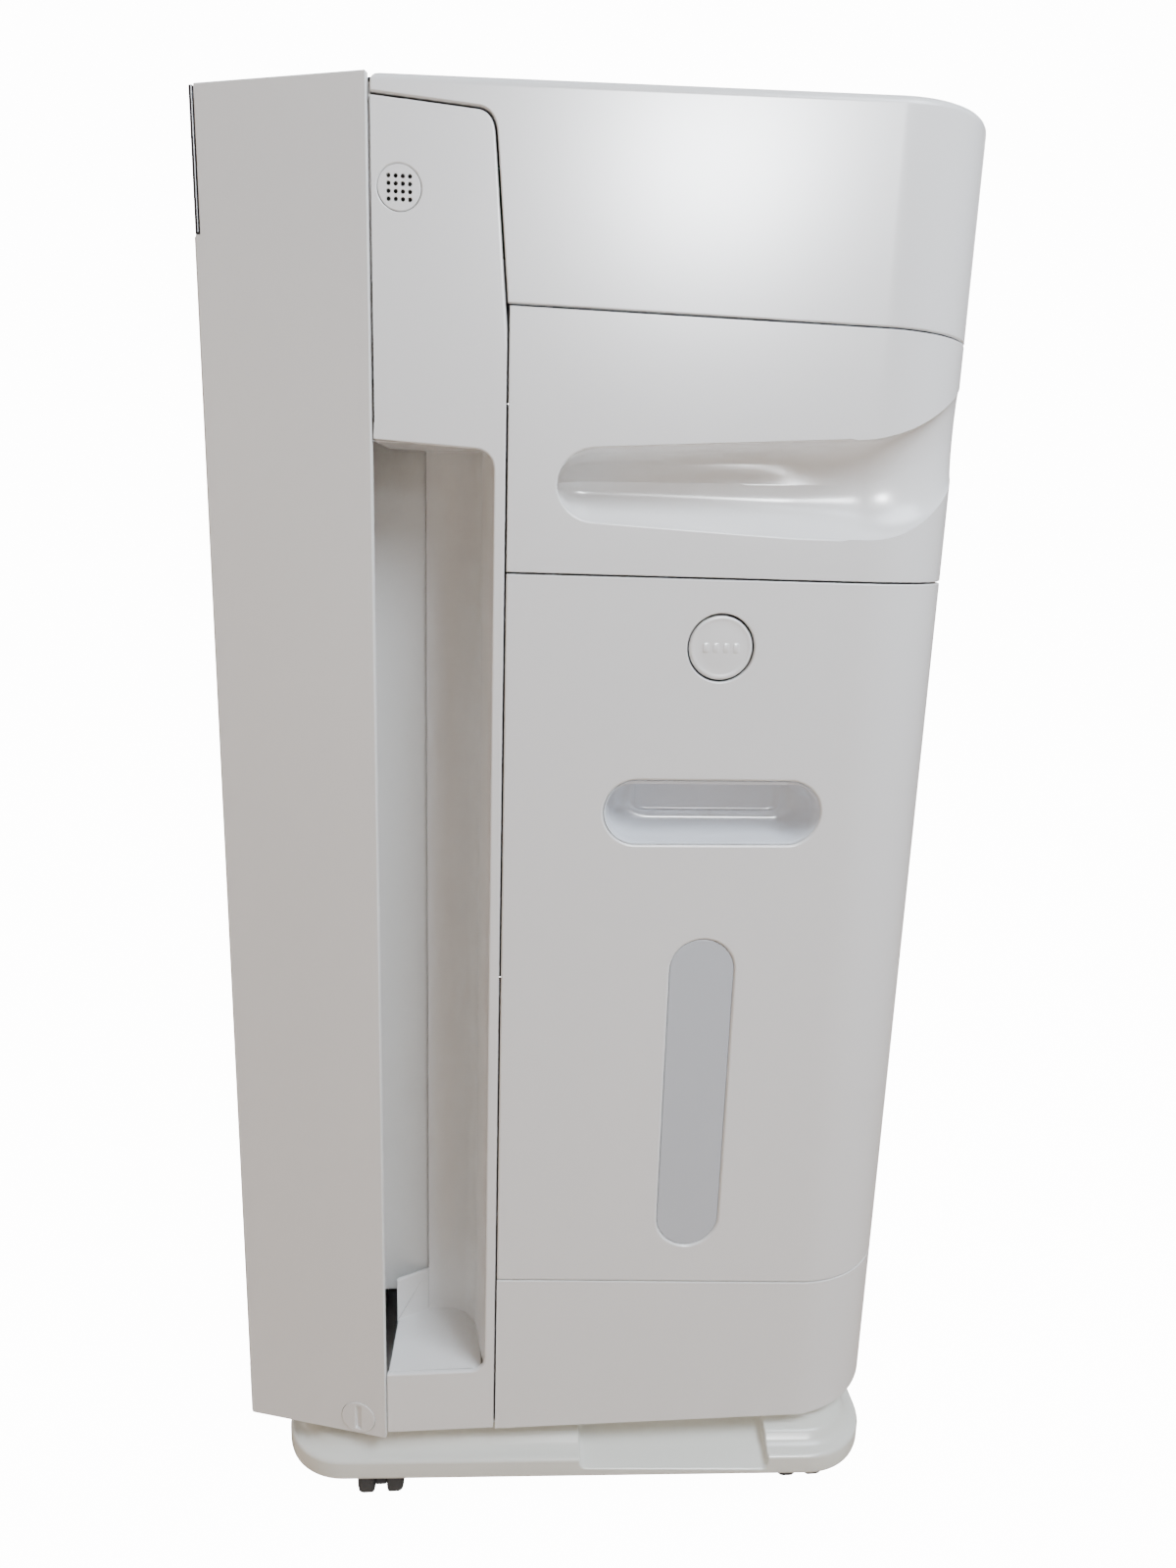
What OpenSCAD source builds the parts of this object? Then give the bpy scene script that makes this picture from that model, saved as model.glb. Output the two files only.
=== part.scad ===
// Upright room dehumidifier on casters: side intake slots, a pull-out water tank
// and a humidifying drawer in its right side, with the works of a desiccant machine.
// +Z is up, the front faces -Y, the tank side faces +X, and the floor is z = 0.

/* [Body] */
// Width across the side faces
body_w = 384; // [380:1:388]
// Depth from the front skin to the rear
body_d = 351; // [350:1:354]
// Height of the body at its front corners
body_h = 640; // [638:1:644]
// How much higher the rear of the top is than the front corners
top_rise = 6.3; // [4:0.1:8]
// Height of the body's underside above the floor
floor_gap = 52; // [52:1:54]
// Radius of the rear corners in plan
rear_r = 54; // [50:1:56]
// Thickness of the moulded casing
wall = 2.6; // [2.4:0.1:2.8]

/* [Front panel] */
// Width of each slanted wing of the front panel
wing_w = 76.5; // [75:0.5:77]
// Angle of a wing from the side face
wing_angle = 16.42; // [16:0.1:17]
// Distance of the wing's rear edge behind the front skin
wing_edge = 80; // [79.5:0.5:80]
// Thickness of the front panel
panel_t = 3; // [2.8:0.1:3.2]
// Height of the display insert's lower edge above the body's underside
display_h = 582; // [578:1:590]
// Radius of a coin lock
lock_r = 9.2; // [9:0.1:9.5]

/* [Intake column] */
// Width of the column from the wing to the tank
column_w = 56.5; // [56:0.1:57]
// Width of the intake slot
slot_w = 51; // [50.5:0.1:51]
// Height of the slot's lower edge above the body's underside
slot_low = 36; // [34:1:38]
// Height of the slot's upper edge above the body's underside
slot_high = 500.5; // [498:1:502]
// Depth of the duct behind the slot
duct_depth = 50; // [49:1:51]

/* [Tank and drawer] */
// Height of the seam between tank and base, at the column
tank_low = 91.6; // [90:0.1:93]
// Height of the seam between tank and drawer
tank_high = 448.2; // [447:0.1:449]
// Height of the seam between drawer and upper housing, at the column
drawer_high = 557.4; // [556:0.1:558]
// Width of the finger grip in the tank
grip_w = 103.3; // [100:0.1:104]
// Height of the finger grip in the tank
grip_h = 30.8; // [30:0.1:31]
// Radius of the hole for the tank's push button
button_r = 15.5; // [15:0.1:16]
// Width of the water window
window_w = 31.8; // [30:0.1:32]
// Height of the water window
window_h = 168.6; // [165:0.1:170]
// Gap at each seam
seam = 0.9; // [0.7:0.1:1.1]

/* [Casters] */
// Radius of a caster wheel
caster_r = 16; // [15.5:0.5:16]
// Width over the twin wheels of a caster
caster_w = 24; // [23:0.5:25]
// Height of the tray's rim
rim_low = 23; // [22:0.5:24]

/* [Works] */
// Radius of the main fan impeller
fan_r = 98; // [94:1:99]
// Number of blades on the main fan
fan_blades = 36; // [24:1:40]
// Module of the rotor's ring gear
gear_m = 4; // [4:0.1:4]
// Teeth on the rotor's ring gear
ring_teeth = 63; // [63:1:63]
// Teeth on the drive pinion
pinion_teeth = 12; // [12:1:12]

/* [Hidden] */
$fn = 48;

gloss_white = [0.93, 0.93, 0.92];
inner_white = [0.86, 0.86, 0.84];
cream = [0.90, 0.91, 0.86];
pale_grey = [0.80, 0.83, 0.87];
window_grey = [0.62, 0.65, 0.69, 0.6];
black = [0.06, 0.06, 0.07];
steel = [0.7, 0.71, 0.73];
eps = 0.01;

half_w = body_w / 2;
front_y = -body_d / 2;
rear_y = body_d / 2;
corner_y = front_y + wing_edge;
z0 = floor_gap;
tilt = atan(top_rise / 250);
tank_y = corner_y + column_w;
rear_c = [half_w - rear_r, rear_y - rear_r];
nose_gap = 3.9;

function top_z(y) = z0 + body_h + tan(tilt) * (y - corner_y);
function low_seam_z(y) = z0 + tank_low - 0.0486 * (y - tank_y);
function high_seam_z(y) = z0 + drawer_high - 0.0102 * (y - tank_y);
mid_seam = z0 + tank_high;

// ---- drawing helpers ----

function arc(c, r, a0, a1, n = 12) = [for (k = [0:n])
    let (a = a0 + (a1 - a0) * k / n) c + r * [cos(a), sin(a)]];
function bend(a, b, c, n = 10) = [for (k = [0:n])
    let (t = k / n) (1 - t) * (1 - t) * a + 2 * t * (1 - t) * b + t * t * c];

// Block between two opposite corners
module span(a, b) translate(a) cube(b - a);

// Slab from x0 to x1 whose outline is drawn as [y, z] points
module side_slab(pts, x0, x1)
    translate([x0, 0, 0]) rotate([90, 0, 90]) linear_extrude(x1 - x0) polygon(pts);

// Slab from y0 to y1 whose outline is drawn as [x, z] points
module front_slab(pts, y0, y1)
    translate([0, y1, 0]) rotate([90, 0, 0]) linear_extrude(y1 - y0) polygon(pts);

module rod_x(x0, x1, y, z, r) translate([x0, y, z]) rotate([0, 90, 0]) cylinder(h = x1 - x0, r = r);
module rod_y(y0, y1, x, z, r) translate([x, y1, z]) rotate([90, 0, 0]) cylinder(h = y1 - y0, r = r);
module rod_z(z_a, z_b, x, y, r) translate([x, y, z_a]) cylinder(h = z_b - z_a, r = r);

// Upright stadium or lying stadium from x0 to x1, centred at [y, z]
module stadium_x(x0, x1, y, z, w, h, grow = 0) {
    r = min(w, h) / 2 + grow;
    dy = max(w - h, 0) / 2;
    dz = max(h - w, 0) / 2;
    for (s = [-1, 1]) rod_x(x0, x1, y + s * dy, z + s * dz, r);
    span([x0, y - max(dy, r * sign(dz)), z - max(dz, r * sign(dy))],
         [x1, y + max(dy, r * sign(dz)), z + max(dz, r * sign(dy))]);
}

// Ring along Y
module ring_y(y0, y1, x, z, r_out, r_in) difference() {
    rod_y(y0, y1, x, z, r_out);
    rod_y(y0 - 1, y1 + 1, x, z, r_in);
}

// Both mirrored halves of its children
module both_sides() for (s = [0, 1]) mirror([s, 0, 0]) children();

// Half the size of the cutting blocks, larger than the whole machine
reach = 400;

// Everything under the sloping top, less a margin
module under_top(g) side_slab(
    [[-reach, -50], [reach, -50], [reach, top_z(reach) - g], [-reach, top_z(-reach) - g]], -reach, reach);

// The space between two sloping seams, given as heights at y = -reach and y = reach
module band(a0, a1, b0, b1)
    side_slab([[-reach, a0], [reach, a1], [reach, b1], [-reach, b0]], -reach, reach);

// Plan of the body behind the wings, inset by i
function plan(i) = concat(
    [[half_w - i, corner_y + 1]],
    arc(rear_c, rear_r - i, 0, 90, 24),
    arc([-rear_c.x, rear_c.y], rear_r - i, 90, 180, 24),
    [[-half_w + i, corner_y + 1]]);

// Plan of the nose between the wings, inset by i
far_x = half_w - wing_w * sin(wing_angle);
far_y = corner_y - wing_w * cos(wing_angle);
function nose(i) = [[half_w - i, corner_y + 2], [-half_w + i, corner_y + 2],
    [i - far_x, far_y + i], [far_x - i, far_y + i]];

module skin(i0, i1, z_a, z_b) translate([0, 0, z_a]) linear_extrude(z_b - z_a) difference() {
    polygon(plan(i0));
    polygon([for (p = plan(i1)) [p.x, p.y < corner_y + 2 ? p.y - 5 : p.y]]);
}

// Places its children on the sloping top: x across, y rearwards from the corner, z up from the surface
module on_top() translate([0, corner_y, z0 + body_h]) rotate([tilt, 0, 0]) children();

// The right-hand quarter taken by tank and drawer
module right_quarter(g) span([rear_c.x + g, tank_y + g, 0], [reach, reach, 900]);

// ---- tray and casters ----

tray_top = z0;
rim_high = rim_low + 12;
tray_corners = [[158, -117, 34], [168, 133, 35]];
tray_skin = 4;
notch_y = [tank_y + 46, tank_y + 148];
notch_floor = [[half_w - 17, rim_high + 4], [half_w + 10, rim_low + 4]];
caster_at = [[171, -100], [174, 133]];
wheel_t = 8.5;
pocket_z = 2 * caster_r + 1.5;

module tray_plate(inset, z_a, z_b) translate([0, 0, z_a]) linear_extrude(z_b - z_a) hull()
    for (c = tray_corners, s = [-1, 1]) translate([s * c.x, c.y]) circle(r = c.z - inset, $fn = 64);

module caster_pocket(c, s) span([min(s * (c.x - 38), s * (c.x + 17.5)), c.y - 15, 0],
    [max(s * (c.x - 38), s * (c.x + 17.5)), c.y + 15, pocket_z]);

module caster_tray() color(cream) difference() {
    union() {
        tray_plate(0, rim_low, rim_high);
        tray_plate(7, rim_high - eps, rim_high + 6);
        tray_plate(14, rim_high + 6 - eps, tray_top - 5);
        tray_plate(22, tray_top - 5 - eps, tray_top);
    }
    tray_plate(tray_skin, rim_low - 1, rim_low + 2);
    tray_plate(34, rim_low + 1, tray_top - tray_skin);
    for (c = caster_at, s = [-1, 1]) caster_pocket(c, s);
    both_sides() front_slab(
        [[notch_floor[0].x, 60], notch_floor[0], notch_floor[1],
            [half_w + 20, notch_floor[1].y], [half_w + 20, 60]],
        notch_y[0], notch_y[1]);
}

module each_caster() for (c = caster_at, s = [0, 1]) mirror([s, 0, 0]) translate([c.x, c.y, 0]) children();

module caster_housings() color(black) each_caster() difference() {
    union() {
        span([-20, -3, 8], [10, 3, pocket_z - 0.1]);
        span([-36, -12, pocket_z - 4], [-17, 12, pocket_z - 0.1]);
        rod_y(-3, 3, 0, caster_r, 9);
    }
    rod_y(-20, 20, 0, caster_r, 3);
}

module caster_axles() color(steel) each_caster()
    rod_y(-caster_w / 2 - 0.5, caster_w / 2 + 0.5, 0, caster_r, 2.95);

// Twin wheel with a step at each edge of its treads
module caster_wheel(x, y) color(black) translate([x, y, 0]) for (s = [-1, 1]) difference() {
    mid = s * (caster_w - wheel_t) / 2;
    step = 1.2;
    union() {
        rod_y(mid - wheel_t / 2, mid + wheel_t / 2 - eps, 0, caster_r, caster_r - step / 2);
        rod_y(mid - wheel_t / 2 + step, mid + wheel_t / 2 - step, 0, caster_r, caster_r);
    }
    rod_y(-20, 20, 0, caster_r, 3);
}

module wheel_front_right() caster_wheel(caster_at[0].x, caster_at[0].y);
module wheel_front_left() caster_wheel(-caster_at[0].x, caster_at[0].y);
module wheel_rear_right() caster_wheel(caster_at[1].x, caster_at[1].y);
module wheel_rear_left() caster_wheel(-caster_at[1].x, caster_at[1].y);

// ---- casing ----

pan_inset = 3.7;
corner_pocket = 40;

module base_pan() color(inner_white) difference() {
    translate([0, 0, z0 + 0.2]) linear_extrude(16) union() {
        polygon(plan(pan_inset));
        polygon(nose(6));
    }
    translate([0, 0, z0 + 3]) linear_extrude(20) {
        polygon(plan(pan_inset + wall));
        translate([0, 4]) polygon(nose(6 + wall));
    }
    both_sides() span([half_w - 32 - corner_pocket, corner_y - corner_pocket, z0 + 3],
        [half_w - 32 + corner_pocket, tank_y + 1, 100]);
}

module base_skirt() color(gloss_white) difference() {
    intersection() {
        skin(0, wall, z0, z0 + 120);
        band(0, 0, low_seam_z(-reach) - seam / 2, low_seam_z(reach) - seam / 2);
        span([-reach, tank_y + seam / 2, 0], [reach, reach, reach]);
    }
    for (k = [0:9]) span([-120 + k * 14, rear_y - 8, z0 + 20], [-114 + k * 14, rear_y + 5, z0 + 52]);
    rod_y(rear_y - 10, rear_y + 5, 100, z0 + 36, 9);
}

handle_y = 45;
handle_z = z0 + 470;
handle_size = [120, 44];

module rear_casing() color(gloss_white) difference() {
    intersection() {
        skin(0, wall, z0, z0 + 640);
        band(low_seam_z(-reach) + seam / 2, low_seam_z(reach) + seam / 2,
             high_seam_z(-reach) - seam / 2, high_seam_z(reach) - seam / 2);
        span([-reach, tank_y + seam / 2, 0], [rear_c.x - seam / 2, reach, 900]);
    }
    translate([-half_w - 5, 0, 0]) stadium_x(0, 20, handle_y, handle_z, handle_size.x, handle_size.y);
    for (p = screw_at) rod_y(rear_y - 8, rear_y + 5, p.x, p.y, 2.2);
}

screw_at = [[-125, 165], [-125, 385], [-125, 590], [120, 590], [120, 385], [120, 165]];
module casing_screws() color(steel) for (p = screw_at) {
    rod_y(rear_y, rear_y + 1.6, p.x, p.y, 4);
    rod_y(rear_y - 14, rear_y + 0.5, p.x, p.y, 1.9);
}

module carry_handle() color(inner_white) difference() {
    translate([-half_w + 0.8, 0, 0]) {
        stadium_x(0, 30, handle_y, handle_z, handle_size.x, handle_size.y, -0.3);
    }
    difference() {
        translate([-half_w - 2, 0, 0])
            stadium_x(0, 30, handle_y, handle_z, handle_size.x, handle_size.y, -wall);
        side_slab([[handle_y - 80, handle_z - 40], [handle_y + 80, handle_z - 40],
            [handle_y + 80, handle_z - 12], [handle_y - 80, handle_z - 12]], -half_w + 10, -half_w + 30);
    }
}

module cord_gland() color(black) difference() {
    union() {
        rod_y(rear_y - 12, rear_y + 1.5, 100, z0 + 36, 8.6);
        rod_y(rear_y, rear_y + 1.5, 100, z0 + 36, 11);
    }
    rod_y(rear_y - 13, rear_y + 3, 100, z0 + 36, 3.5);
}

// ---- intake columns ----

shoulder = [[-44.7, z0 + 620.7], [-53.2, z0 + 629.6]];

// Outline of a column's face as [y, z], shrunk by g at the seams
function column_face(g) = concat(
    [[corner_y + 0.5, z0], [tank_y - g, z0], [tank_y - g, z0 + 548]],
    [[shoulder[0].x + 0.5 - g, shoulder[0].y - 6]],
    bend([shoulder[0].x - g, shoulder[0].y], [shoulder[0].x - 0.7 - g, shoulder[1].y - g],
        [shoulder[1].x, shoulder[1].y - g], 8),
    [[corner_y + 0.5, z0 + 632.2 - g]]);

sensor_at = [corner_y + 12.1, z0 + 598.8];
sensor_r = 8.6;
hole_pitch = 2.85;
hole_r = 0.85;
slot_right = corner_y + slot_w;
duct_r = 19;
column_back = 0.8;
duct_c = [corner_y + 27.5, duct_depth - duct_r];

// Duct wall in plan as [y, depth] points, with g added to its thickness
function duct_line(g) = concat(
    [[slot_right + 0.3 + g, 0]],
    [for (k = [0:14]) let (a = 90 * k / 14) duct_c + (duct_r + g) * [cos(a), sin(a)]],
    [[corner_y + 19.5, duct_depth + g]]);
function to_plan(pts) = [for (p = pts) [half_w - p.y, p.x]];

module slot_shape(g, x0, x1) side_slab(concat(
    [[corner_y - 5, z0 + slot_low - g], [slot_right + g - 7, z0 + slot_low - g]],
    arc([slot_right + g - 7, z0 + slot_low - g + 7], 7, -90, 0),
    arc([slot_right + g - 8, z0 + slot_high + g - 9], 8, 0, 86),
    [[corner_y - 5, z0 + slot_high + g + 1.4]]), x0, x1);

module intake_column() {
    difference() {
        side_slab(column_face(seam / 2), half_w - wall - column_back, half_w - column_back);
        slot_shape(0, half_w - 10, half_w + 10);
        rod_x(half_w - 10, half_w + 10, sensor_at.x, sensor_at.y, sensor_r + 0.3);
    }
    intersection() {
        slot_shape(2.5, half_w - duct_depth - 3, half_w - 1);
        translate([0, 0, z0]) linear_extrude(600) difference() {
            polygon(to_plan(concat(duct_line(2.4), [[corner_y + 19.5, duct_depth], [corner_y + 19.5, 0]])));
            polygon(to_plan(concat(duct_line(0), [[corner_y, duct_depth], [corner_y, 0]])));
        }
    }
    // floor and ceiling of the duct
    for (z = [slot_low - 3, slot_high + 0.4]) translate([0, 0, z0 + z]) linear_extrude(2.6)
        polygon(to_plan(concat([[slot_right - 1, wall / 2]],
            [for (k = [0:14]) let (a = 90 * k / 14) duct_c + (duct_r + 1) * [cos(a), sin(a)]],
            [[corner_y + 19.5, duct_depth], [corner_y + 3.1, 42], [corner_y + 0.9, wall / 2]])));
    // low lip that closes the floor's inner corner
    translate([0, 0, z0 + slot_low - 1]) linear_extrude(26)
        polygon(to_plan([[corner_y + 2.6, 41], [corner_y + 19.5, duct_depth - 0.2],
            [corner_y + 19.5, duct_depth + 2.2], [corner_y + 2.6, 43.4]]));
}

module intake_column_right() color(gloss_white) intake_column();
module intake_column_left() color(gloss_white) mirror([1, 0, 0]) intake_column();

module sensor_grille() color(gloss_white) difference() {
    rod_x(half_w - wall - 3, half_w - column_back + 0.05, sensor_at.x, sensor_at.y, sensor_r);
    rod_x(half_w - wall - 4, half_w - 2, sensor_at.x, sensor_at.y, sensor_r - 1.4);
    for (i = [-1.5:1:1.5], j = [-1.5:1:1.5])
        rod_x(half_w - 10, half_w + 1, sensor_at.x + hole_pitch * i, sensor_at.y + hole_pitch * j, hole_r);
}

// ---- top ----

outlet = [[-125, 165], [125, 237]];
panel_at = [[-128, 44], [128, 104]];
button_x = [-90, -45, 45, 90];
button_y = 72;
key_r = 9;
louvres = 16;

module upper_housing() color(gloss_white) difference() {
    intersection() {
        difference() {
            translate([0, 0, z0 + 500]) linear_extrude(180) union() {
                polygon(plan(0));
                polygon(nose(nose_gap));
            }
            intersection() {
                under_top(3);
                translate([0, 0, z0 + 400]) linear_extrude(300) union() {
                    polygon(plan(wall));
                    polygon(nose(nose_gap + wall));
                }
            }
            both_sides() side_slab(column_face(-seam / 2), half_w - wall - 3, half_w + 5);
        }
        under_top(0);
        union() {
            band(high_seam_z(-reach) + seam / 2, high_seam_z(reach) + seam / 2, 900, 900);
            span([-reach, -reach, 0], [reach, corner_y + 3, 900]);
        }
        union() {
            span([-reach, corner_y + 1.2, 0], [reach, reach, 900]);
            span([-reach, -reach, z0 + display_h], [reach, corner_y + 2, 900]);
        }
    }
    on_top() span([outlet[0].x, outlet[0].y, -10], [outlet[1].x, outlet[1].y, 5]);
    on_top() span([panel_at[0].x, panel_at[0].y, -1.4], [panel_at[1].x, panel_at[1].y, 5]);
    on_top() for (x = button_x) rod_z(-10, 5, x, button_y, key_r + 1.5);
}

module outlet_grille() color(inner_white) on_top() {
    difference() {
        span([outlet[0].x + 0.4, outlet[0].y + 0.4, -14], [outlet[1].x - 0.4, outlet[1].y - 0.4, -5.4]);
        span([outlet[0].x + 3, outlet[0].y + 3, -20], [outlet[1].x - 3, outlet[1].y - 3, 0]);
    }
    louvre_pitch = (outlet[1].x - outlet[0].x) / (louvres + 1);
    for (k = [1:louvres]) translate([outlet[0].x + k * louvre_pitch - 0.8, outlet[0].y + 2, -13])
        cube([1.6, outlet[1].y - outlet[0].y - 4, 6]);
}

flap_gap = 0.7;
flap_pin = [outlet[1].y - 5, -2.6];

module air_flap() color(gloss_white) on_top() {
    span([outlet[0].x + flap_gap, outlet[0].y + flap_gap, -2.4], [outlet[1].x - flap_gap, outlet[1].y - 5, 0]);
    translate([outlet[0].x + flap_gap, flap_pin.x, flap_pin.y]) rotate([0, 90, 0])
        cylinder(h = outlet[1].x - outlet[0].x - 2 * flap_gap, r = 2.6);
}

module control_panel() color(black) on_top() difference() {
    span([panel_at[0].x + 0.3, panel_at[0].y + 0.3, -1.4], [panel_at[1].x - 0.3, panel_at[1].y - 0.3, -0.1]);
    for (x = button_x) rod_z(-5, 5, x, button_y, key_r + 0.4);
}

module key(x) on_top() {
    rod_z(-5, 0.6, x, button_y, key_r);
    rod_z(-5, -3.6, x, button_y, key_r + 1);
}
module button_power() color(inner_white) key(button_x[0]);
module button_mode() color(inner_white) key(button_x[1]);
module button_fan() color(inner_white) key(button_x[2]);
module button_timer() color(inner_white) key(button_x[3]);

module control_board() color([0.1, 0.35, 0.2]) on_top() {
    span([-115, 48, -12], [115, 100, -10.4]);
    for (x = button_x) rod_z(-10.5, -7.4, x, button_y, 3);
    span([-14, 60, -10.5], [14, 86, -6]);
}

// ---- front ----

crown_r = 2400;
crown_c = [0, front_y + crown_r];
panel_low = z0 - 2.5;
lock_w = 15;
lock_z = z0 + 7.3;
display_edge = 2.2;
wing_dir = [-sin(wing_angle), -cos(wing_angle)];
wing_in = [-cos(wing_angle), sin(wing_angle)];
near = [half_w, corner_y - 0.6];
far = near + (wing_w - 0.5) * wing_dir;

// Gently curved front skin between depths t0 and t1
module crown(t0, t1, half, z_a, z_b) let (a = asin(half / crown_r))
    translate([0, 0, z_a]) linear_extrude(z_b - z_a) polygon(concat(
        arc(crown_c, crown_r - t0, 270 - a, 270 + a, 24),
        arc(crown_c, crown_r - t1, 270 + a, 270 - a, 24)));

// The wing's last strip beside the display, from the outer face inwards by t, shortened by g
module wing_end(t, g) translate([0, 0, z0 + display_h + g]) linear_extrude(200)
    polygon([far - 0.1 * wing_in, far - (display_edge - g) * wing_dir - 0.1 * wing_in,
        far - (display_edge - g) * wing_dir + t * wing_in, far + t * wing_in - [g, 0]]);

rib_z = panel_low + 30;
gusset_z = z0 + 20;

module front_panel() color(gloss_white) difference() {
    intersection() {
        union() {
            crown(0, panel_t, far.x - 1, panel_low, z0 + display_h - 0.5);
            both_sides() translate([0, 0, panel_low]) linear_extrude(760)
                polygon([near, far, far + panel_t * wing_in, near + panel_t * wing_in]);
            // stiffening rib beside the intake slot
            both_sides() translate([0, 0, rib_z]) linear_extrude(display_h - 40)
                polygon([near + 2.9 * wing_in + 8 * wing_dir, near + 9 * wing_in + 8 * wing_dir,
                    near + 9 * wing_in + 10 * wing_dir, near + 2.9 * wing_in + 10 * wing_dir]);
            // gusset along the corner between wing and front
            both_sides() translate([0, 0, gusset_z]) linear_extrude(z0 + display_h - 8 - gusset_z)
                polygon([far - 12 * wing_dir + wing_in, far + 0.6 * wing_in,
                    far - [13, 0.2], far - [13, -2.2]]);
        }
        side_slab(concat(
            [[reach, panel_low]], arc([front_y + 8, panel_low + 8], 8, 270, 180, 8),
            [[front_y, top_z(front_y)], [reach, top_z(reach)]]), -reach, reach);
    }
    both_sides() lock_space(lock_r + 0.3, 20);
    both_sides() wing_end(panel_t + 2, 0);
}

// Round space through the wing at its coin lock
module lock_space(r, depth) translate([near.x, near.y, lock_z]) rotate([0, 0, -wing_angle])
    translate([-depth, -lock_w, 0]) rotate([0, 90, 0]) cylinder(h = depth + 5, r = r);

module coin_lock() translate([near.x, near.y, lock_z]) rotate([0, 0, -wing_angle]) translate([0, -lock_w, 0]) {
    difference() {
        translate([-panel_t - 1, 0, 0]) rotate([0, 90, 0]) cylinder(h = panel_t + 1.4, r = lock_r);
        translate([-1.2, -1.6, -7]) cube([5, 3.2, 14]);
    }
    translate([-panel_t - 5, 0, 0]) rotate([0, 90, 0]) cylinder(h = 4.2, r = 4);
    translate([-panel_t - 5, -3, -3]) cube([2, 6, 20]);
}
module coin_lock_right() color(gloss_white) coin_lock();
module coin_lock_left() color(gloss_white) mirror([1, 0, 0]) coin_lock();

module display_insert() color(black) intersection() {
    union() {
        crown(0.2, 2.6, far.x - 2, z0 + display_h + 0.4, 720);
        both_sides() intersection() {
            wing_end(2.4, 0.4);
            translate([0, 0, z0 + display_h + 0.4]) linear_extrude(200)
                polygon([far - 0.05 * wing_in, far - 10 * wing_dir - 0.05 * wing_in,
                    far - 10 * wing_dir + 2.4 * wing_in, far + 2.4 * wing_in]);
        }
    }
    under_top(0.6);
}

// ---- filters ----

filter_x = 134;
filter_z = [z0 + 10, z0 + 572];

// Block across the filter cavity: y0 and y1 from the body's corner, drawn in by i, i_low and i_high
module across(y0, y1, i, i_low, i_high) span([-filter_x + i, corner_y + y0, filter_z[0] + i_low],
    [filter_x - i, corner_y + y1, filter_z[1] - i_high]);

module filter_frame() color(black) difference() {
    union() {
        across(-12, -8, 0, 0, 0);
        both_sides() span([filter_x - 2.5, corner_y - 58, filter_z[0]],
            [filter_x + 2.5, corner_y - 8, filter_z[0] + 36]);
        span([-filter_x, corner_y - 58, filter_z[0]], [filter_x, corner_y - 8, filter_z[0] + 3]);
    }
    for (i = [0:2], j = [0:4]) span([-120 + 82 * i, corner_y - 13, filter_z[0] + 12 + 110 * j],
        [-44 + 82 * i, corner_y - 7, filter_z[0] + 112 + 110 * j]);
}

guide_z = filter_z[0] + 37;
module filter_guides() color(inner_white) both_sides() {
    span([filter_x + 2.8, corner_y - 52, guide_z], [filter_x + 5.4, corner_y + 19.3, z0 + slot_high + 70]);
    for (y = [-52, -34])
        span([filter_x - 4, corner_y + y, guide_z], [filter_x + 3, corner_y + y + 1.6, filter_z[1]]);
}

module mesh_prefilter() color([0.2, 0.2, 0.22]) {
    difference() {
        across(-58, -54, 6, 4, 2);
        across(-60, -50, 12, 10, 8);
    }
    for (k = [1:5]) span([-filter_x + 11, corner_y - 57, filter_z[0] + k * 94 - 1],
        [filter_x - 11, corner_y - 55, filter_z[0] + k * 94 + 1]);
    for (k = [-2:2])
        span([k * 42 - 1, corner_y - 57, filter_z[0] + 9], [k * 42 + 1, corner_y - 55, filter_z[1] - 7]);
    across(-56.2, -55.8, 11, 9, 7);
}

pleats = 40;
module pleated_filter() color([0.95, 0.95, 0.93]) {
    difference() {
        across(-49, -25, 5, 5, 4);
        across(-60, -10, 8, 8, 7);
    }
    pitch = (2 * filter_x - 16) / pleats;
    ridges = [for (k = [0:pleats]) [k * pitch, corner_y - (k % 2 == 0 ? 47 : 28)]];
    translate([-filter_x + 8, 0, filter_z[0] + 7]) linear_extrude(filter_z[1] - filter_z[0] - 13)
        polygon(concat(ridges, [for (k = [pleats:-1:0]) ridges[k] + [0, 1]]));
}

module carbon_filter() color([0.12, 0.12, 0.12]) difference() {
    across(-23, -13, 5, 5, 4);
    for (i = [0:11], j = [0:25]) span([-120 + 20.2 * i, corner_y - 24, filter_z[0] + 12 + 21 * j],
        [-102 + 20.2 * i, corner_y - 21, filter_z[0] + 30 + 21 * j]);
}

// ---- desiccant rotor and its heater ----

rotor_at = [0, z0 + 448];
rotor_y = [-68, -42];
pitch_r = gear_m * ring_teeth / 2;
pinion_pitch = gear_m * pinion_teeth / 2;
mesh_angle = -45;
pinion_at = rotor_at + (pitch_r + pinion_pitch + 0.15) * [cos(mesh_angle), sin(mesh_angle)];

function inv(a) = tan(a) * 180 / PI - a;
function polar(r, a) = r * [cos(a), sin(a)];
// Half the angle of a tooth at radius r, for base radius rb and half angle h at the base
function flank(r, rb, h) = h - inv(acos(rb / r));
// Involute gear outline with its first tooth at angle 0, tooth thinned by play
function gear(t, m, play = 0.5, n = 3) = let (rp = m * t / 2, rb = rp * cos(20), rs = max(rb, rp - m),
    root = rp - 1.2 * m, tip = rp + 0.9 * m, half = (PI * m / 2 - play) / (2 * rp) * 180 / PI + inv(20),
    radii = [for (s = [0:n]) rs + (tip - rs) * s / n])
    [for (k = [0:t - 1]) each concat(
        [polar(root, 360 * k / t - half)],
        [for (s = [0:n]) polar(radii[s], 360 * k / t - flank(radii[s], rb, half))],
        [for (s = [n:-1:0]) polar(radii[s], 360 * k / t + flank(radii[s], rb, half))],
        [polar(root, 360 * k / t + half)])];

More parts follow.
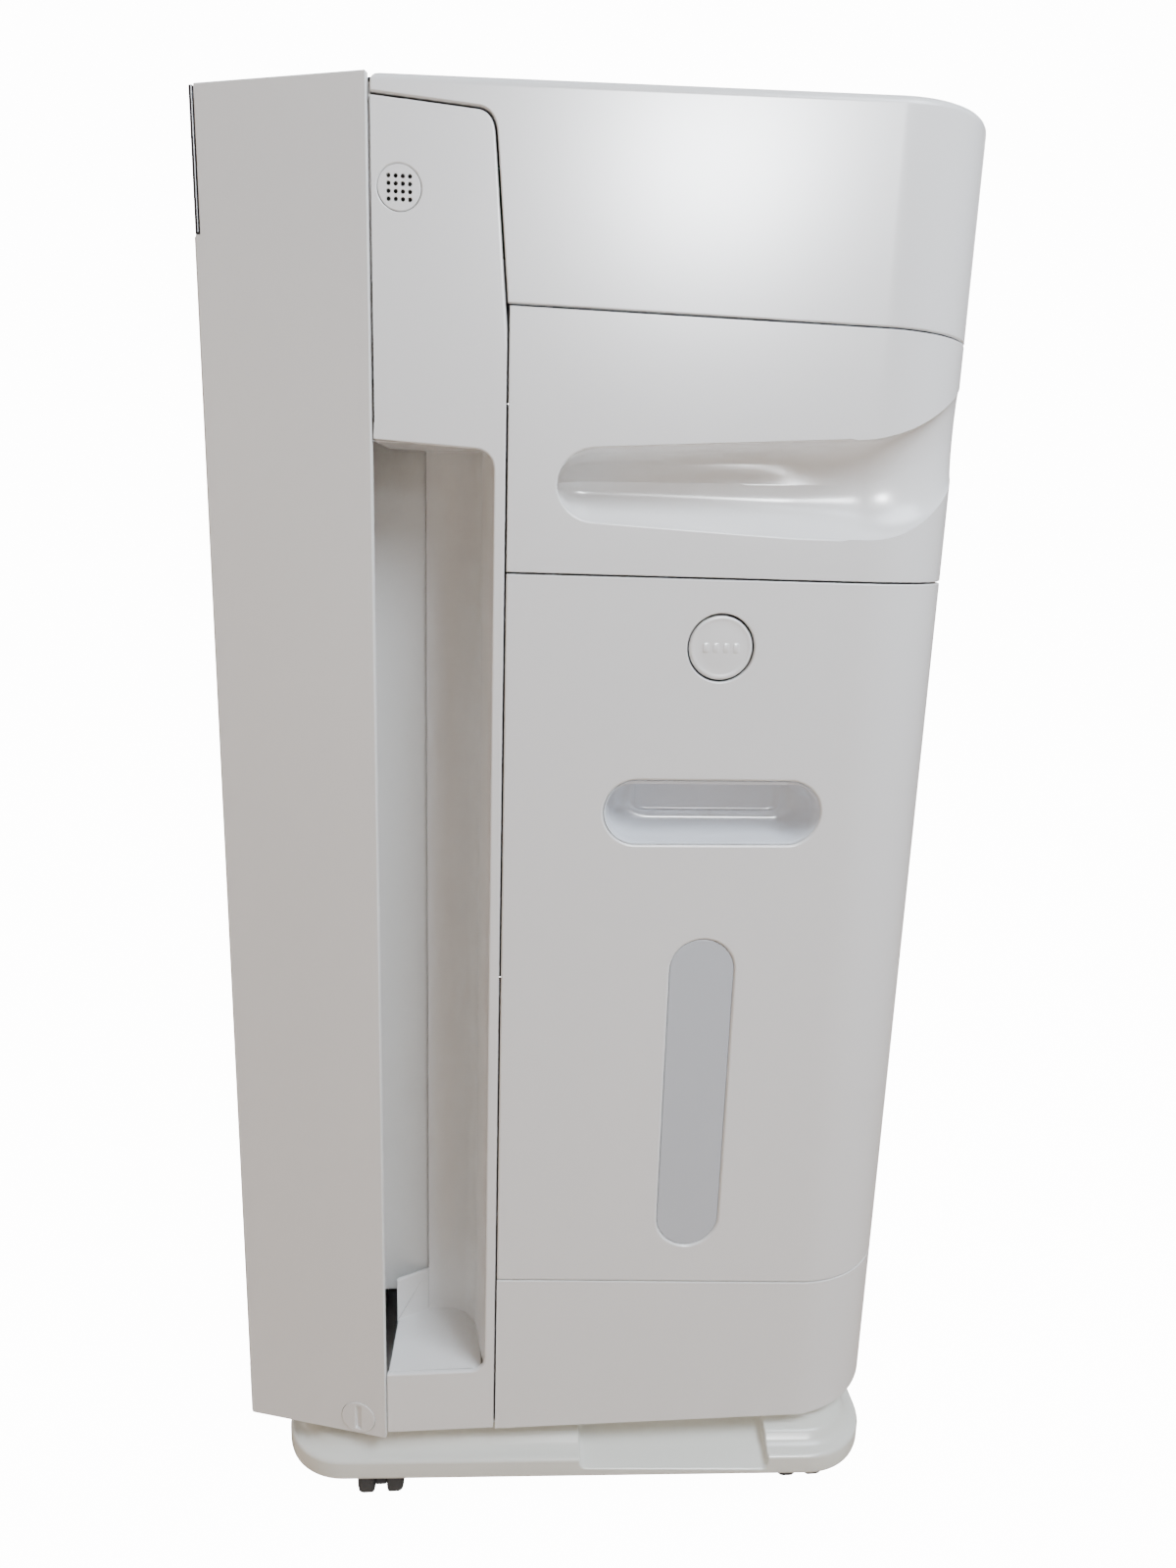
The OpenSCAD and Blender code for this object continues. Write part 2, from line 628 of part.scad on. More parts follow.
// Turns an outline drawn around the origin into a slab at [x, z], seen from the front
module disc_slab(at, y0, y1, turn) translate([at.x, y1, at.y]) rotate([90, 0, 0]) rotate([0, 0, turn])
    linear_extrude(y1 - y0) children();

// Places its children on an axis along Y, turned about it
module about_axis(at, a) translate([at.x, 0, at.y]) rotate([0, a, 0]) children();

module rotor_wheel() color(inner_white) {
    difference() {
        disc_slab(rotor_at, rotor_y[0] + 4, rotor_y[0] + 12, mesh_angle) polygon(gear(ring_teeth, gear_m));
        rod_y(rotor_y[0] - 5, rotor_y[1] + 5, rotor_at.x, rotor_at.y, pitch_r - 8);
    }
    ring_y(rotor_y[0] + 4.5, rotor_y[1], rotor_at.x, rotor_at.y, pitch_r - 6, pitch_r - 10);
    for (k = [0:5]) about_axis(rotor_at, 60 * k)
        span([11, rotor_y[0] + 6, -1.5], [pitch_r - 9, rotor_y[1] - 2, 1.5]);
    ring_y(rotor_y[0] + 4, rotor_y[1], rotor_at.x, rotor_at.y, 12, 5);
}

module desiccant_media() color([0.82, 0.80, 0.72]) for (k = [0:5]) difference() {
    disc_slab(rotor_at, rotor_y[0] + 6, rotor_y[1] - 1, 60 * k) polygon(concat(
        arc([0, 0], pitch_r - 10.5, 1.2, 58.8, 12), arc([0, 0], 16, 53, 7, 4)));
}

module rotor_frame() color(pale_grey) difference() {
    union() {
        difference() {
            span([-138, rotor_y[0] - 5, rotor_at.y - 138], [138, rotor_y[1] + 4, rotor_at.y + 138]);
            rod_y(rotor_y[0] - 2, rotor_y[1] + 1.5, rotor_at.x, rotor_at.y, pitch_r + 5.5);
            rod_y(rotor_y[0] - 2, rotor_y[1] + 1.5, pinion_at.x, pinion_at.y, pinion_pitch + 5.5);
            rod_y(rotor_y[0] - 9, rotor_y[1] + 9, rotor_at.x, rotor_at.y, pitch_r - 14);
        }
        for (y = [rotor_y[0] - 5, rotor_y[1] + 1.5]) intersection() {
            for (a = [0, 90]) about_axis(rotor_at, a) span([-125, y, -5], [125, y + 2.5, 5]);
            rod_y(-100, 0, rotor_at.x, rotor_at.y, pitch_r);
        }
    }
    rod_y(rotor_y[0] - 9, rotor_y[0] + 2, pinion_at.x, pinion_at.y, 4);
    rod_y(rotor_y[0] - 9, rotor_y[1] + 9, rotor_at.x, rotor_at.y, 5);
}

module rotor_pin() rod_y(rotor_y[0] - 4, rotor_y[1] + 3, rotor_at.x, rotor_at.y, 4.95);

module drive_pinion() color(inner_white) {
    disc_slab(pinion_at, rotor_y[0] + 3, rotor_y[0] + 13, mesh_angle + 180 + 180 / pinion_teeth)
        polygon(gear(pinion_teeth, gear_m));
    rod_y(rotor_y[0] - 7, rotor_y[0] + 14, pinion_at.x, pinion_at.y, 3.4);
}

module gear_motor() color(steel) {
    difference() {
        rod_y(rotor_y[0] - 24, rotor_y[0] - 5.2, pinion_at.x, pinion_at.y, 20);
        rod_y(rotor_y[0] - 8, rotor_y[0] - 4, pinion_at.x, pinion_at.y, 3.46);
    }
    rotor_pin();
}

module heater_box() color([0.75, 0.74, 0.70]) difference() {
    disc_slab(rotor_at, rotor_y[0] - 23, rotor_y[0] - 5.2, 100) polygon(concat(
        arc([0, 0], 118, 0, 70, 14), arc([0, 0], 24, 70, 0, 6)));
    disc_slab(rotor_at, rotor_y[0] - 21, rotor_y[0] - 4, 102) polygon(concat(
        arc([0, 0], 114, 1, 65, 14), arc([0, 0], 30, 62, 3, 6)));
}

tubes = 13;
tube_pitch = 15.2;
header_z = [rotor_at.y - 128, rotor_at.y - 32];
module condenser() color(pale_grey) {
    for (z = header_z) span([-132, rotor_y[0] - 22, z], [66, rotor_y[0] - 6, z + 12]);
    for (k = [0:tubes - 1])
        rod_z(header_z[0] + 11, header_z[1] + 1, -124 + k * tube_pitch, rotor_y[0] - 14, 5.5);
}

pan_z = z0 + 299;
module drain_pan() color(pale_grey) difference() {
    union() {
        span([-134, rotor_y[0] - 24, pan_z], [128, rotor_y[0] - 4, pan_z + 9]);
        span([100, rotor_y[0] - 5, pan_z], [128, -2, pan_z + 9]);
    }
    span([-132, rotor_y[0] - 22, pan_z + 2], [126, rotor_y[0] - 6, pan_z + 20]);
    span([102, rotor_y[0] - 8, pan_z + 2], [126, -4, pan_z + 20]);
    rod_z(pan_z - 1, pan_z + 5, 114, -14, 6);
}

blower_at = [22, z0 + 396];
module blower_housing() color(pale_grey) {
    blower_case();
    rod_y(-8, 10 + eps, blower_at.x, blower_at.y, 4);
}

module blower_case() difference() {
    union() {
        rod_y(-34, 12, blower_at.x, blower_at.y, 44);
        span([blower_at.x - 44, -34, blower_at.y], [blower_at.x - 14, 12, blower_at.y + 46]);
        rod_y(12 - eps, 40, blower_at.x, blower_at.y, 20);
    }
    rod_y(-32, 10, blower_at.x, blower_at.y, 42);
    span([blower_at.x - 42, -32, blower_at.y], [blower_at.x - 16, 10, blower_at.y + 50]);
    rod_y(-40, -30, blower_at.x, blower_at.y, 24);
}

// Squirrel-cage wheel with its hub disc at the rear
module cage(at, y0, y1, r, n, blade) {
    ring_y(y0, y0 + 3, at.x, at.y, r, r - blade);
    difference() {
        rod_y(y1 - 3, y1, at.x, at.y, r);
        rod_y(y1 - 5, y1 + 2, at.x, at.y, 4.05);
    }
    ring_y(y1 - 16, y1 - 2, at.x, at.y, 9, 4.05);
    for (k = [0:n - 1]) about_axis(at, k * 360 / n) translate([r - blade / 2 - 0.5, 0, 0])
        rotate([0, 35, 0]) span([-blade / 2 + 1, y0 + 1, -0.7], [blade / 2 - 1, y1 - 1, 0.7]);
}

module blower_wheel() color(black) cage(blower_at, -28, 6, 36, 24, 10);

// ---- main fan ----

fan_at = [-52, z0 + 190];
fan_y = [0, 90];
scroll_y = [-8, 98];
scroll_x = -178;
scroll_top = z0 + 370;
duct_wall = 2.4;
inlet_r = 74;

// Spiral outline of the scroll as [x, z], grown by g
function scroll(g) = concat(
    [for (k = [0:58]) let (a = 110 - 5 * k, r = fan_r + 8 + 18 * k / 58 + g) fan_at + r * [cos(a), sin(a)]],
    [[scroll_x - g, fan_at.y], [scroll_x - g, scroll_top], [-100 + g, scroll_top]]);

module fan_scroll() color(pale_grey) difference() {
    front_slab(scroll(duct_wall), scroll_y[0], scroll_y[1]);
    front_slab([for (p = scroll(0)) [p.x, p.y >= scroll_top - 1 ? p.y + 10 : p.y]],
        scroll_y[0] + duct_wall, scroll_y[1] - duct_wall);
    rod_y(scroll_y[0] - 5, scroll_y[0] + 5, fan_at.x, fan_at.y, inlet_r);
    rod_y(scroll_y[1] - 5, scroll_y[1] + 5, fan_at.x, fan_at.y, 12);
}

module fan_wheel() color(pale_grey) cage(fan_at, fan_y[0], fan_y[1], fan_r, fan_blades, 20);

module fan_motor() color(steel) {
    difference() {
        rod_y(scroll_y[1] + 0.2, scroll_y[1] + 58, fan_at.x, fan_at.y, 48);
        for (k = [0:7]) about_axis(fan_at, 45 * k) span([40, scroll_y[1] + 12, -3], [52, scroll_y[1] + 46, 3]);
    }
    rod_y(fan_y[1] - 18, scroll_y[1] + 1, fan_at.x, fan_at.y, 4);
}

plenum_z = z0 + 564;
plenum = [[scroll_x, scroll_y[0] + duct_wall], [137.6, 147.6]];
riser_x = [-154, -99.4];
riser_y = [scroll_y[0] + duct_wall, scroll_y[1] - duct_wall];
step_z = z0 + 436;
hood = [[-131, corner_y + outlet[0].y - 3], [131, corner_y + outlet[1].y + 3]];

// Block between plan corners a and b, grown sideways by g
module duct_block(a, b, z_a, z_b, g) span([a.x - g, a.y - g, z_a], [b.x + g, b.y + g, z_b]);

// The duct narrows above the scroll to pass the carrying handle, then widens under the outlet
module outlet_duct() color(pale_grey) difference() {
    union() {
        duct_block([scroll_x, riser_y[0]], [riser_x[1], riser_y[1]], scroll_top + 0.3, step_z, duct_wall);
        duct_block([riser_x[0], riser_y[0]], [riser_x[1], riser_y[1]], step_z - 1, plenum_z + 5, duct_wall);
        duct_block(plenum[0], plenum[1], plenum_z, z0 + 600, duct_wall);
        intersection() {
            duct_block(hood[0], hood[1], z0 + 590, z0 + 660, 3);
            under_top(15.5);
        }
    }
    duct_block([scroll_x, riser_y[0]], [riser_x[1], riser_y[1]], scroll_top - 5, step_z - duct_wall, 0);
    duct_block([riser_x[0], riser_y[0]], [riser_x[1], riser_y[1]], step_z - 10, plenum_z + 10, 0);
    duct_block(plenum[0], plenum[1], plenum_z + duct_wall, z0 + 600 - duct_wall, 0);
    duct_block(hood[0], hood[1], z0 + 580, z0 + 700, 0);
}

module power_board() color([0.1, 0.35, 0.2]) {
    span([-150, 0, z0 + 12], [60, 130, z0 + 14]);
    for (x = [-130, -80, -20, 30]) span([x, 20, z0 + 13], [x + 24, 60, z0 + 40]);
    for (x = [-120, -70, -30, 20]) rod_z(z0 + 13, z0 + 44, x, 95, 12);
    for (x = [-140, 50], y = [8, 122]) rod_z(z0 + 3, z0 + 12.5, x, y, 4);
}

// ---- tank ----

bay_x = 84;
tank_mid = corner_y + 154.2;
button_z = z0 + 417.5;
grip_z = z0 + 340.3;
window_z = z0 + 192.8;
shell_t = 3;

module tank_bay() color(inner_white) difference() {
    union() {
        span([bay_x, -20, z0 + 88], [bay_x + 2.4, 150, mid_seam - 6]);
        intersection() {
            union() {
                span([bay_x, -30, z0 + 90], [half_w - 14, 150, z0 + 92.4]);
                span([-34, -32, mid_seam - 3.6], [half_w - 14, 160, mid_seam - 1.2]);
            }
            translate([0, 0, z0]) linear_extrude(700) polygon(plan(14));
        }
        span([-34, -32, mid_seam - 3.6], [-31.6, 160, z0 + 552]);
        span([half_w - 26, tank_mid - 16, mid_seam - 8], [half_w - 20, tank_mid + 16, mid_seam - 3]);
    }
    span([bay_x - 5, -25, z0 + 290], [bay_x + 5, 0, z0 + 312]);
    for (y = [10:28:130]) span([bay_x - 5, y, z0 + 120], [bay_x + 5, y + 12, z0 + 330]);
}

module door_band(g) band(low_seam_z(-reach) + g, low_seam_z(reach) + g, mid_seam - g, mid_seam - g);

module tank_door() color(gloss_white) difference() {
    union() {
        intersection() {
            skin(0, shell_t, z0, z0 + 500);
            right_quarter(seam / 2);
            door_band(seam / 2);
        }
        difference() {
            intersection() {
                skin(1, 12, z0, z0 + 500);
                right_quarter(seam / 2);
                door_band(seam / 2);
            }
            door_band(seam / 2 + 2.4);
        }
        for (y = [tank_mid - 24, tank_mid + 20])
            span([half_w - 20, y, button_z - 22], [half_w - 2, y + 4, button_z + 22]);
    }
    stadium_x(half_w - 10, half_w + 5, tank_mid + 0.7, grip_z, grip_w, grip_h);
    stadium_x(half_w - 10, half_w + 5, tank_mid, window_z, window_w, window_h);
    rod_x(half_w - 10, half_w + 5, tank_mid, button_z, button_r);
    span([half_w - 26, tank_mid - 18, mid_seam - 6], [half_w - 4, tank_mid + 18, mid_seam + 4]);
}

module tank_grip() color(pale_grey) grip_cup(tank_mid + 0.7, grip_z, grip_w, grip_h);

// Recessed cup with a floor that rises towards the back
module grip_cup(y, z, w, h) difference() {
    stadium_x(half_w - 30, half_w - 0.6, y, z, w, h, -0.2);
    difference() {
        stadium_x(half_w - 28, half_w + 5, y, z, w, h, -1.8);
        side_slab([[y - w, z - h], [y + w, z - h], [y + w, z], [y - w, z]], half_w - 40, half_w - 24);
        intersection() {
            span([half_w - 26, y - w, z - h], [half_w, y + w, z]);
            translate([half_w - 2, y - w, z - h / 2 + 1.2]) rotate([0, -60, 0])
                translate([-40, 0, -30]) cube([40, 2 * w, 60]);
        }
    }
}

module water_window() color(window_grey)
    stadium_x(half_w - shell_t - 1.5, half_w - 0.8, tank_mid, window_z, window_w, window_h, -0.2);

vessel_z = [z0 + 96, z0 + 290];
vessel_y = [-27, 150];
module vessel_plan(i) intersection() {
    polygon(plan(7 + i));
    translate([bay_x + 6 + i, vessel_y[0] + i]) square([200, vessel_y[1] - vessel_y[0] - 2 * i]);
}

module tank_vessel() color([0.75, 0.82, 0.88, 0.5]) difference() {
    translate([0, 0, vessel_z[0]]) linear_extrude(vessel_z[1] - vessel_z[0]) vessel_plan(0);
    translate([0, 0, vessel_z[0] + 2.4]) linear_extrude(300) vessel_plan(2.2);
}

module tank_lid() color(pale_grey) difference() {
    union() {
        translate([0, 0, vessel_z[1] + 0.1]) linear_extrude(2.4) vessel_plan(0);
        translate([0, 0, vessel_z[1] - 5]) linear_extrude(5.2) difference() {
            vessel_plan(2.5);
            vessel_plan(4.5);
        }
        span([half_w - 24, tank_mid - 60, vessel_z[1] + 2], [half_w - 20, tank_mid + 60, vessel_z[1] + 8]);
    }
    rod_z(vessel_z[1] - 10, vessel_z[1] + 10, 114, -8, 13);
    rod_z(vessel_z[1] - 10, vessel_z[1] + 10, 114, 90, 4);
}

module tank_float() color([0.9, 0.9, 0.88]) {
    span([101, 76, vessel_z[0] + 4], [127, 104, vessel_z[0] + 30]);
    rod_z(vessel_z[0] + 29, vessel_z[1] + 4, 114, 90, 3.7);
}

module tank_button() color(gloss_white) {
    difference() {
        rod_x(half_w - shell_t - 1, half_w - 0.3, tank_mid, button_z, button_r - 0.8);
        rod_x(half_w - 0.8, half_w + 1, tank_mid, button_z, 4);
    }
    rod_x(half_w - 14, half_w - shell_t, tank_mid, button_z, 4.5);
}

module tank_latch() color(inner_white) {
    span([half_w - 22, tank_mid - 12, button_z - 12], [half_w - 18, tank_mid + 12, mid_seam - 10]);
    span([half_w - 25, tank_mid - 12, mid_seam - 12.5], [half_w - 18, tank_mid + 12, mid_seam - 9.5]);
}

// ---- drawer ----

drawer_z = [mid_seam + seam / 2, z0 + 553];
scoop_end = [[corner_y + 93.5, z0 + 486.5], 15.3];

// Outline of the drawer's grip as [y, z]; it runs out through the rear corner; grown by g
function scoop(g) = concat(
    arc(scoop_end[0], scoop_end[1] + g, 268, 92, 14),
    [for (p = bend([114.9, 561.4], [148, 563.5], [180.5, 598])) p + [0, g]],
    [for (p = bend([178.5, 556], [150, 517.5], [120, 518.9])) p - [0, g]],
    [[88, 519 - g]]);

scoop_x = half_w - 30;
wick_folds = 30;

module drawer_front() color(gloss_white) difference() {
    union() {
        intersection() {
            skin(0, shell_t, z0 + 400, z0 + 600);
            right_quarter(seam / 2);
            drawer_band(seam / 2);
        }
        difference() {
            intersection() {
                skin(1, 12, z0 + 400, z0 + 600);
                right_quarter(seam / 2);
                drawer_band(seam / 2);
            }
            drawer_band(seam / 2 + 2.4);
        }
    }
    side_slab(scoop(0), scoop_x - eps, half_w + 10);
}
module drawer_band(g) band(mid_seam + g, mid_seam + g, high_seam_z(-reach) - g, high_seam_z(reach) - g);

module drawer_unit() color(pale_grey) {
    // scoop behind the grip opening
    difference() {
        intersection() {
            side_slab(scoop(2.2), scoop_x - 2.2, half_w - shell_t - 0.1);
            translate([0, 0, z0 + 400]) linear_extrude(200) polygon(plan(shell_t + 0.1));
        }
        difference() {
            side_slab(scoop(0), scoop_x, half_w + 10);
            intersection() {
                span([scoop_x - 1, -60, z0 + 440], [half_w, 200, z0 + 486]);
                translate([half_w - 2, -60, z0 + 467.5]) rotate([0, -60, 0])
                    translate([-60, 0, -60]) cube([60, 300, 120]);
            }
        }
    }
    // water tray
    difference() {
        tray_block(0, drawer_z[0] + 1.5, drawer_z[0] + 52);
        tray_block(2.2, drawer_z[0] + 3.7, drawer_z[0] + 100);
    }
    // wick filter standing in the tray, with its frame
    for (z = [drawer_z[0] + 3.6, drawer_z[0] + 92]) span([-8, 24, z], [148, 62, z + 3]);
    for (x = [-8, 145]) span([x, 24, drawer_z[0] + 4], [x + 3, 62, drawer_z[0] + 94]);
    folds = [for (k = [0:wick_folds]) [-5.5 + 5.03 * k, k % 2 == 0 ? 27 : 57]];
    translate([0, 0, drawer_z[0] + 6]) linear_extrude(87)
        polygon(concat(folds, [for (k = [wick_folds:-1:0]) folds[k] + [0, 1.5]]));
}

module tray_block(i, z_a, z_b) translate([0, 0, z_a]) linear_extrude(z_b - z_a) intersection() {
    polygon(plan(34 + i));
    translate([-22 + i, -26 + i]) square([180 - 2 * i, 180 - 2 * i]);
}

caster_tray();
caster_housings();
caster_axles();
wheel_front_right();
wheel_front_left();
wheel_rear_right();
wheel_rear_left();
base_pan();
base_skirt();
rear_casing();
casing_screws();
carry_handle();
cord_gland();
intake_column_right();
intake_column_left();
sensor_grille();
upper_housing();
outlet_grille();
air_flap();
control_panel();
control_board();
button_power();
button_mode();
button_fan();
button_timer();
display_insert();
front_panel();
coin_lock_right();
coin_lock_left();
filter_frame();
filter_guides();
mesh_prefilter();
pleated_filter();
carbon_filter();
rotor_frame();
rotor_wheel();
desiccant_media();
drive_pinion();
gear_motor();
heater_box();
condenser();
drain_pan();
blower_housing();
blower_wheel();
fan_scroll();
fan_wheel();
fan_motor();
outlet_duct();
power_board();
tank_bay();
tank_door();
tank_vessel();
tank_lid();
water_window();
tank_grip();
tank_button();
tank_latch();
tank_float();
drawer_front();
drawer_unit();
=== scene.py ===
"""Finished look of a tank-side room dehumidifier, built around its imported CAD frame."""

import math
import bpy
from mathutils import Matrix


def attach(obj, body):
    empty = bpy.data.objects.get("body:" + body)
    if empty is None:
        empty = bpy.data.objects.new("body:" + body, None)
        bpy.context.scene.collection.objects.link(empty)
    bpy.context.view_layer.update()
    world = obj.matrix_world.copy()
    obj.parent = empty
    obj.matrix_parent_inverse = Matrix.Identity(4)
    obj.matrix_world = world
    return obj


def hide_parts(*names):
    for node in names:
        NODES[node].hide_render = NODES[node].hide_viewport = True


bl_info = {
    "name": "Tank-side dehumidifier",
    "version": (1, 0, 0),
    "blender": (4, 5, 0),
    "location": "View3D > Sidebar > Dehumidifier",
    "description": "Builds the moulded casing, tank, drawer, casters and works of a room dehumidifier",
    "category": "Object",
}

import bmesh
import bpy
from mathutils import Matrix, Vector

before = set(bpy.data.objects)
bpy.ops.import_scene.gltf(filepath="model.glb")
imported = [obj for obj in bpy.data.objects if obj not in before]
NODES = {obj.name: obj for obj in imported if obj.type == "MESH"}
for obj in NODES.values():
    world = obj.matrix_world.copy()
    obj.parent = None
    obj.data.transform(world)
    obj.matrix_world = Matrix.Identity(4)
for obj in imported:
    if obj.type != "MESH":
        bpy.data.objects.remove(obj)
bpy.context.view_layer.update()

MM = 0.001

# ---- sizes of the casing, in millimetres, shared by the pieces below ----

HALF_W = 192.0
REAR_Y = 175.5
CORNER_Y = -95.5
FLOOR_GAP = 52.0
TANK_Y = -39.0
MID_SEAM = 500.2
SEAM = 0.9
REAR_CENTRE = (138.0, 121.5)
REAR_R = 54.0
TANK_MID_Y = 58.7
BUTTON_Z = 469.5
GRIP_Z = 392.3
WINDOW_Z = 244.8
SENSOR_AT = (-83.4, 650.8)
LOCK_TOP = 80.0
CASTERS = {"front": (171.0, -100.0), "rear": (174.0, 133.0)}
CASTER_R = 16.0


def top_z(y):
    """Height of the sloping top at depth y."""
    return 692.0 + 0.0252 * (y - CORNER_Y)


def low_seam_z(y):
    """Height of the seam between the base skirt and the tank door."""
    return 143.6 - 0.0486 * (y - TANK_Y)


def high_seam_z(y):
    """Height of the seam between the drawer and the upper housing."""
    return 609.4 - 0.0102 * (y - TANK_Y)


# ---- settings shown in the sidebar ----


class CasingSettings(bpy.types.PropertyGroup):
    shell_white: bpy.props.FloatVectorProperty(
        name="Shell white", description="Colour of the glossy outer mouldings",
        subtype="COLOR", size=3, min=0.0, max=1.0, default=(0.80, 0.79, 0.775))
    seam_radius: bpy.props.FloatProperty(
        name="Seam radius", description="Rounding of the edges along the seams",
        subtype="DISTANCE", unit="LENGTH", min=0.0001, max=0.002, default=0.0005)
    crown_radius: bpy.props.FloatProperty(
        name="Top radius", description="Rounding of the top edge of the upper housing",
        subtype="DISTANCE", unit="LENGTH", min=0.001, max=0.006, default=0.0042)
    gloss: bpy.props.FloatProperty(
        name="Shell roughness", description="Roughness of the glossy outer mouldings",
        subtype="FACTOR", min=0.02, max=0.6, default=0.08)


class TankSettings(bpy.types.PropertyGroup):
    grip_colour: bpy.props.FloatVectorProperty(
        name="Grip colour", description="Colour of the cup behind the tank's grip opening",
        subtype="COLOR", size=3, min=0.0, max=1.0, default=(0.66, 0.70, 0.76))
    window_colour: bpy.props.FloatVectorProperty(
        name="Window colour", description="Colour of the water window",
        subtype="COLOR", size=3, min=0.0, max=1.0, default=(0.19, 0.195, 0.21))
    lip_radius: bpy.props.FloatProperty(
        name="Lip radius", description="Rounding of the grip and window openings",
        subtype="DISTANCE", unit="LENGTH", min=0.0003, max=0.0025, default=0.0014)


class TraySettings(bpy.types.PropertyGroup):
    tray_cream: bpy.props.FloatVectorProperty(
        name="Tray cream", description="Colour of the caster tray",
        subtype="COLOR", size=3, min=0.0, max=1.0, default=(0.90, 0.85, 0.74))


class StudioSettings(bpy.types.PropertyGroup):
    lens: bpy.props.FloatProperty(
        name="Lens", description="Focal length of the studio camera", unit="CAMERA",
        min=15.0, max=120.0, default=24.75)
    window_power: bpy.props.FloatProperty(
        name="Window light", description="Power of the light that mirrors in the upper housing",
        subtype="POWER", min=0.0, max=400.0, default=200.0)
    room_power: bpy.props.FloatProperty(
        name="Room light", description="Power of the large soft light over the object",
        subtype="POWER", min=0.0, max=800.0, default=26.0)
    floor_colour: bpy.props.FloatVectorProperty(
        name="Floor colour", description="Colour of the studio floor",
        subtype="COLOR", size=3, min=0.0, max=1.0, default=(0.54, 0.44, 0.35))


# ---- shared shader node groups ----


def shader_group(name, inputs, outputs):
    """An empty node group with its sockets, and its input and output nodes."""
    tree = bpy.data.node_groups.new(name, "ShaderNodeTree")
    for label, value in inputs.items():
        kind = "NodeSocketColor" if isinstance(value, tuple) else "NodeSocketFloat"
        tree.interface.new_socket(name=label, in_out="INPUT", socket_type=kind).default_value = value
    for label in outputs:
        kind = "NodeSocketColor" if label == "Color" else "NodeSocketFloat"
        tree.interface.new_socket(name=label, in_out="OUTPUT", socket_type=kind)
    return tree, tree.nodes.new("NodeGroupInput"), tree.nodes.new("NodeGroupOutput")


def feed(tree, socket, value):
    """Links another socket to this one, or sets its value."""
    if isinstance(value, bpy.types.NodeSocket):
        tree.links.new(value, socket)
    else:
        socket.default_value = value


def noise(tree, coord, scale, detail=3.0, roughness=0.5, stretch=None):
    """A noise texture on object coordinates, stretched along an axis if asked."""
    if stretch is not None:
        mapping = tree.nodes.new("ShaderNodeMapping")
        mapping.inputs["Scale"].default_value = stretch
        tree.links.new(coord, mapping.inputs["Vector"])
        coord = mapping.outputs["Vector"]
    node = tree.nodes.new("ShaderNodeTexNoise")
    tree.links.new(coord, node.inputs["Vector"])
    node.inputs["Detail"].default_value = detail
    node.inputs["Roughness"].default_value = roughness
    feed(tree, node.inputs["Scale"], scale)
    return node.outputs["Fac"]


def maths(tree, operation, a, b=0.0, clamp=False):
    """A math node on two sockets or numbers."""
    node = tree.nodes.new("ShaderNodeMath")
    node.operation = operation
    node.use_clamp = clamp
    for socket, value in zip(node.inputs, (a, b)):
        feed(tree, socket, value)
    return node.outputs[0]


def mix_colour(tree, factor, a, b, blend="MIX"):
    """A colour mix of two sockets or colours."""
    node = tree.nodes.new("ShaderNodeMix")
    node.data_type = "RGBA"
    node.blend_type = blend
    node.clamp_factor = True
    for socket, value in ((node.inputs[0], factor), (node.inputs[6], a), (node.inputs[7], b)):
        feed(tree, socket, value)
    return node.outputs[2]


def smooth_range(tree, value, low, high, to_low=0.0, to_high=1.0):
    """Maps a value from one range to another, with a smooth step."""
    node = tree.nodes.new("ShaderNodeMapRange")
    node.interpolation_type = "SMOOTHSTEP"
    tree.links.new(value, node.inputs["Value"])
    for label, number in (("From Min", low), ("From Max", high), ("To Min", to_low), ("To Max", to_high)):
        node.inputs[label].default_value = number
    return node.outputs["Result"]


def build_moulded_grain():
    """Height of a moulded plastic skin: slow flow ripple and a fine spark-eroded grit."""
    tree, group_in, group_out = shader_group(
        "moulded_grain",
        {"Ripple Scale": 14.0, "Ripple": 0.5, "Grit Scale": 1600.0, "Grit": 0.1}, ("Height", "Mottle"))
    coord = tree.nodes.new("ShaderNodeTexCoord").outputs["Object"]
    ripple = noise(tree, coord, group_in.outputs["Ripple Scale"], 2.0)
    grit = noise(tree, coord, group_in.outputs["Grit Scale"], 2.0)
    height = maths(tree, "ADD", maths(tree, "MULTIPLY", ripple, group_in.outputs["Ripple"]),
                   maths(tree, "MULTIPLY", grit, group_in.outputs["Grit"]))
    tree.links.new(height, group_out.inputs["Height"])
    tree.links.new(noise(tree, coord, 6.0, 5.0, 0.6), group_out.inputs["Mottle"])
    return tree


def build_edge_wear():
    """Mask of the convex edges, broken up by a scuff noise."""
    tree, group_in, group_out = shader_group("edge_wear", {"Reach": 0.52, "Amount": 0.3}, ("Mask",))
    coord = tree.nodes.new("ShaderNodeTexCoord").outputs["Object"]
    pointed = tree.nodes.new("ShaderNodeNewGeometry").outputs["Pointiness"]
    ramp = maths(tree, "MULTIPLY", maths(tree, "SUBTRACT", pointed, group_in.outputs["Reach"]), 14.0, True)
    scuffs = smooth_range(tree, noise(tree, coord, 90.0, 4.0, 0.65), 0.42, 0.62)
    worn = maths(tree, "MULTIPLY", maths(tree, "MULTIPLY", ramp, scuffs), group_in.outputs["Amount"], True)
    tree.links.new(worn, group_out.inputs["Mask"])
    return tree


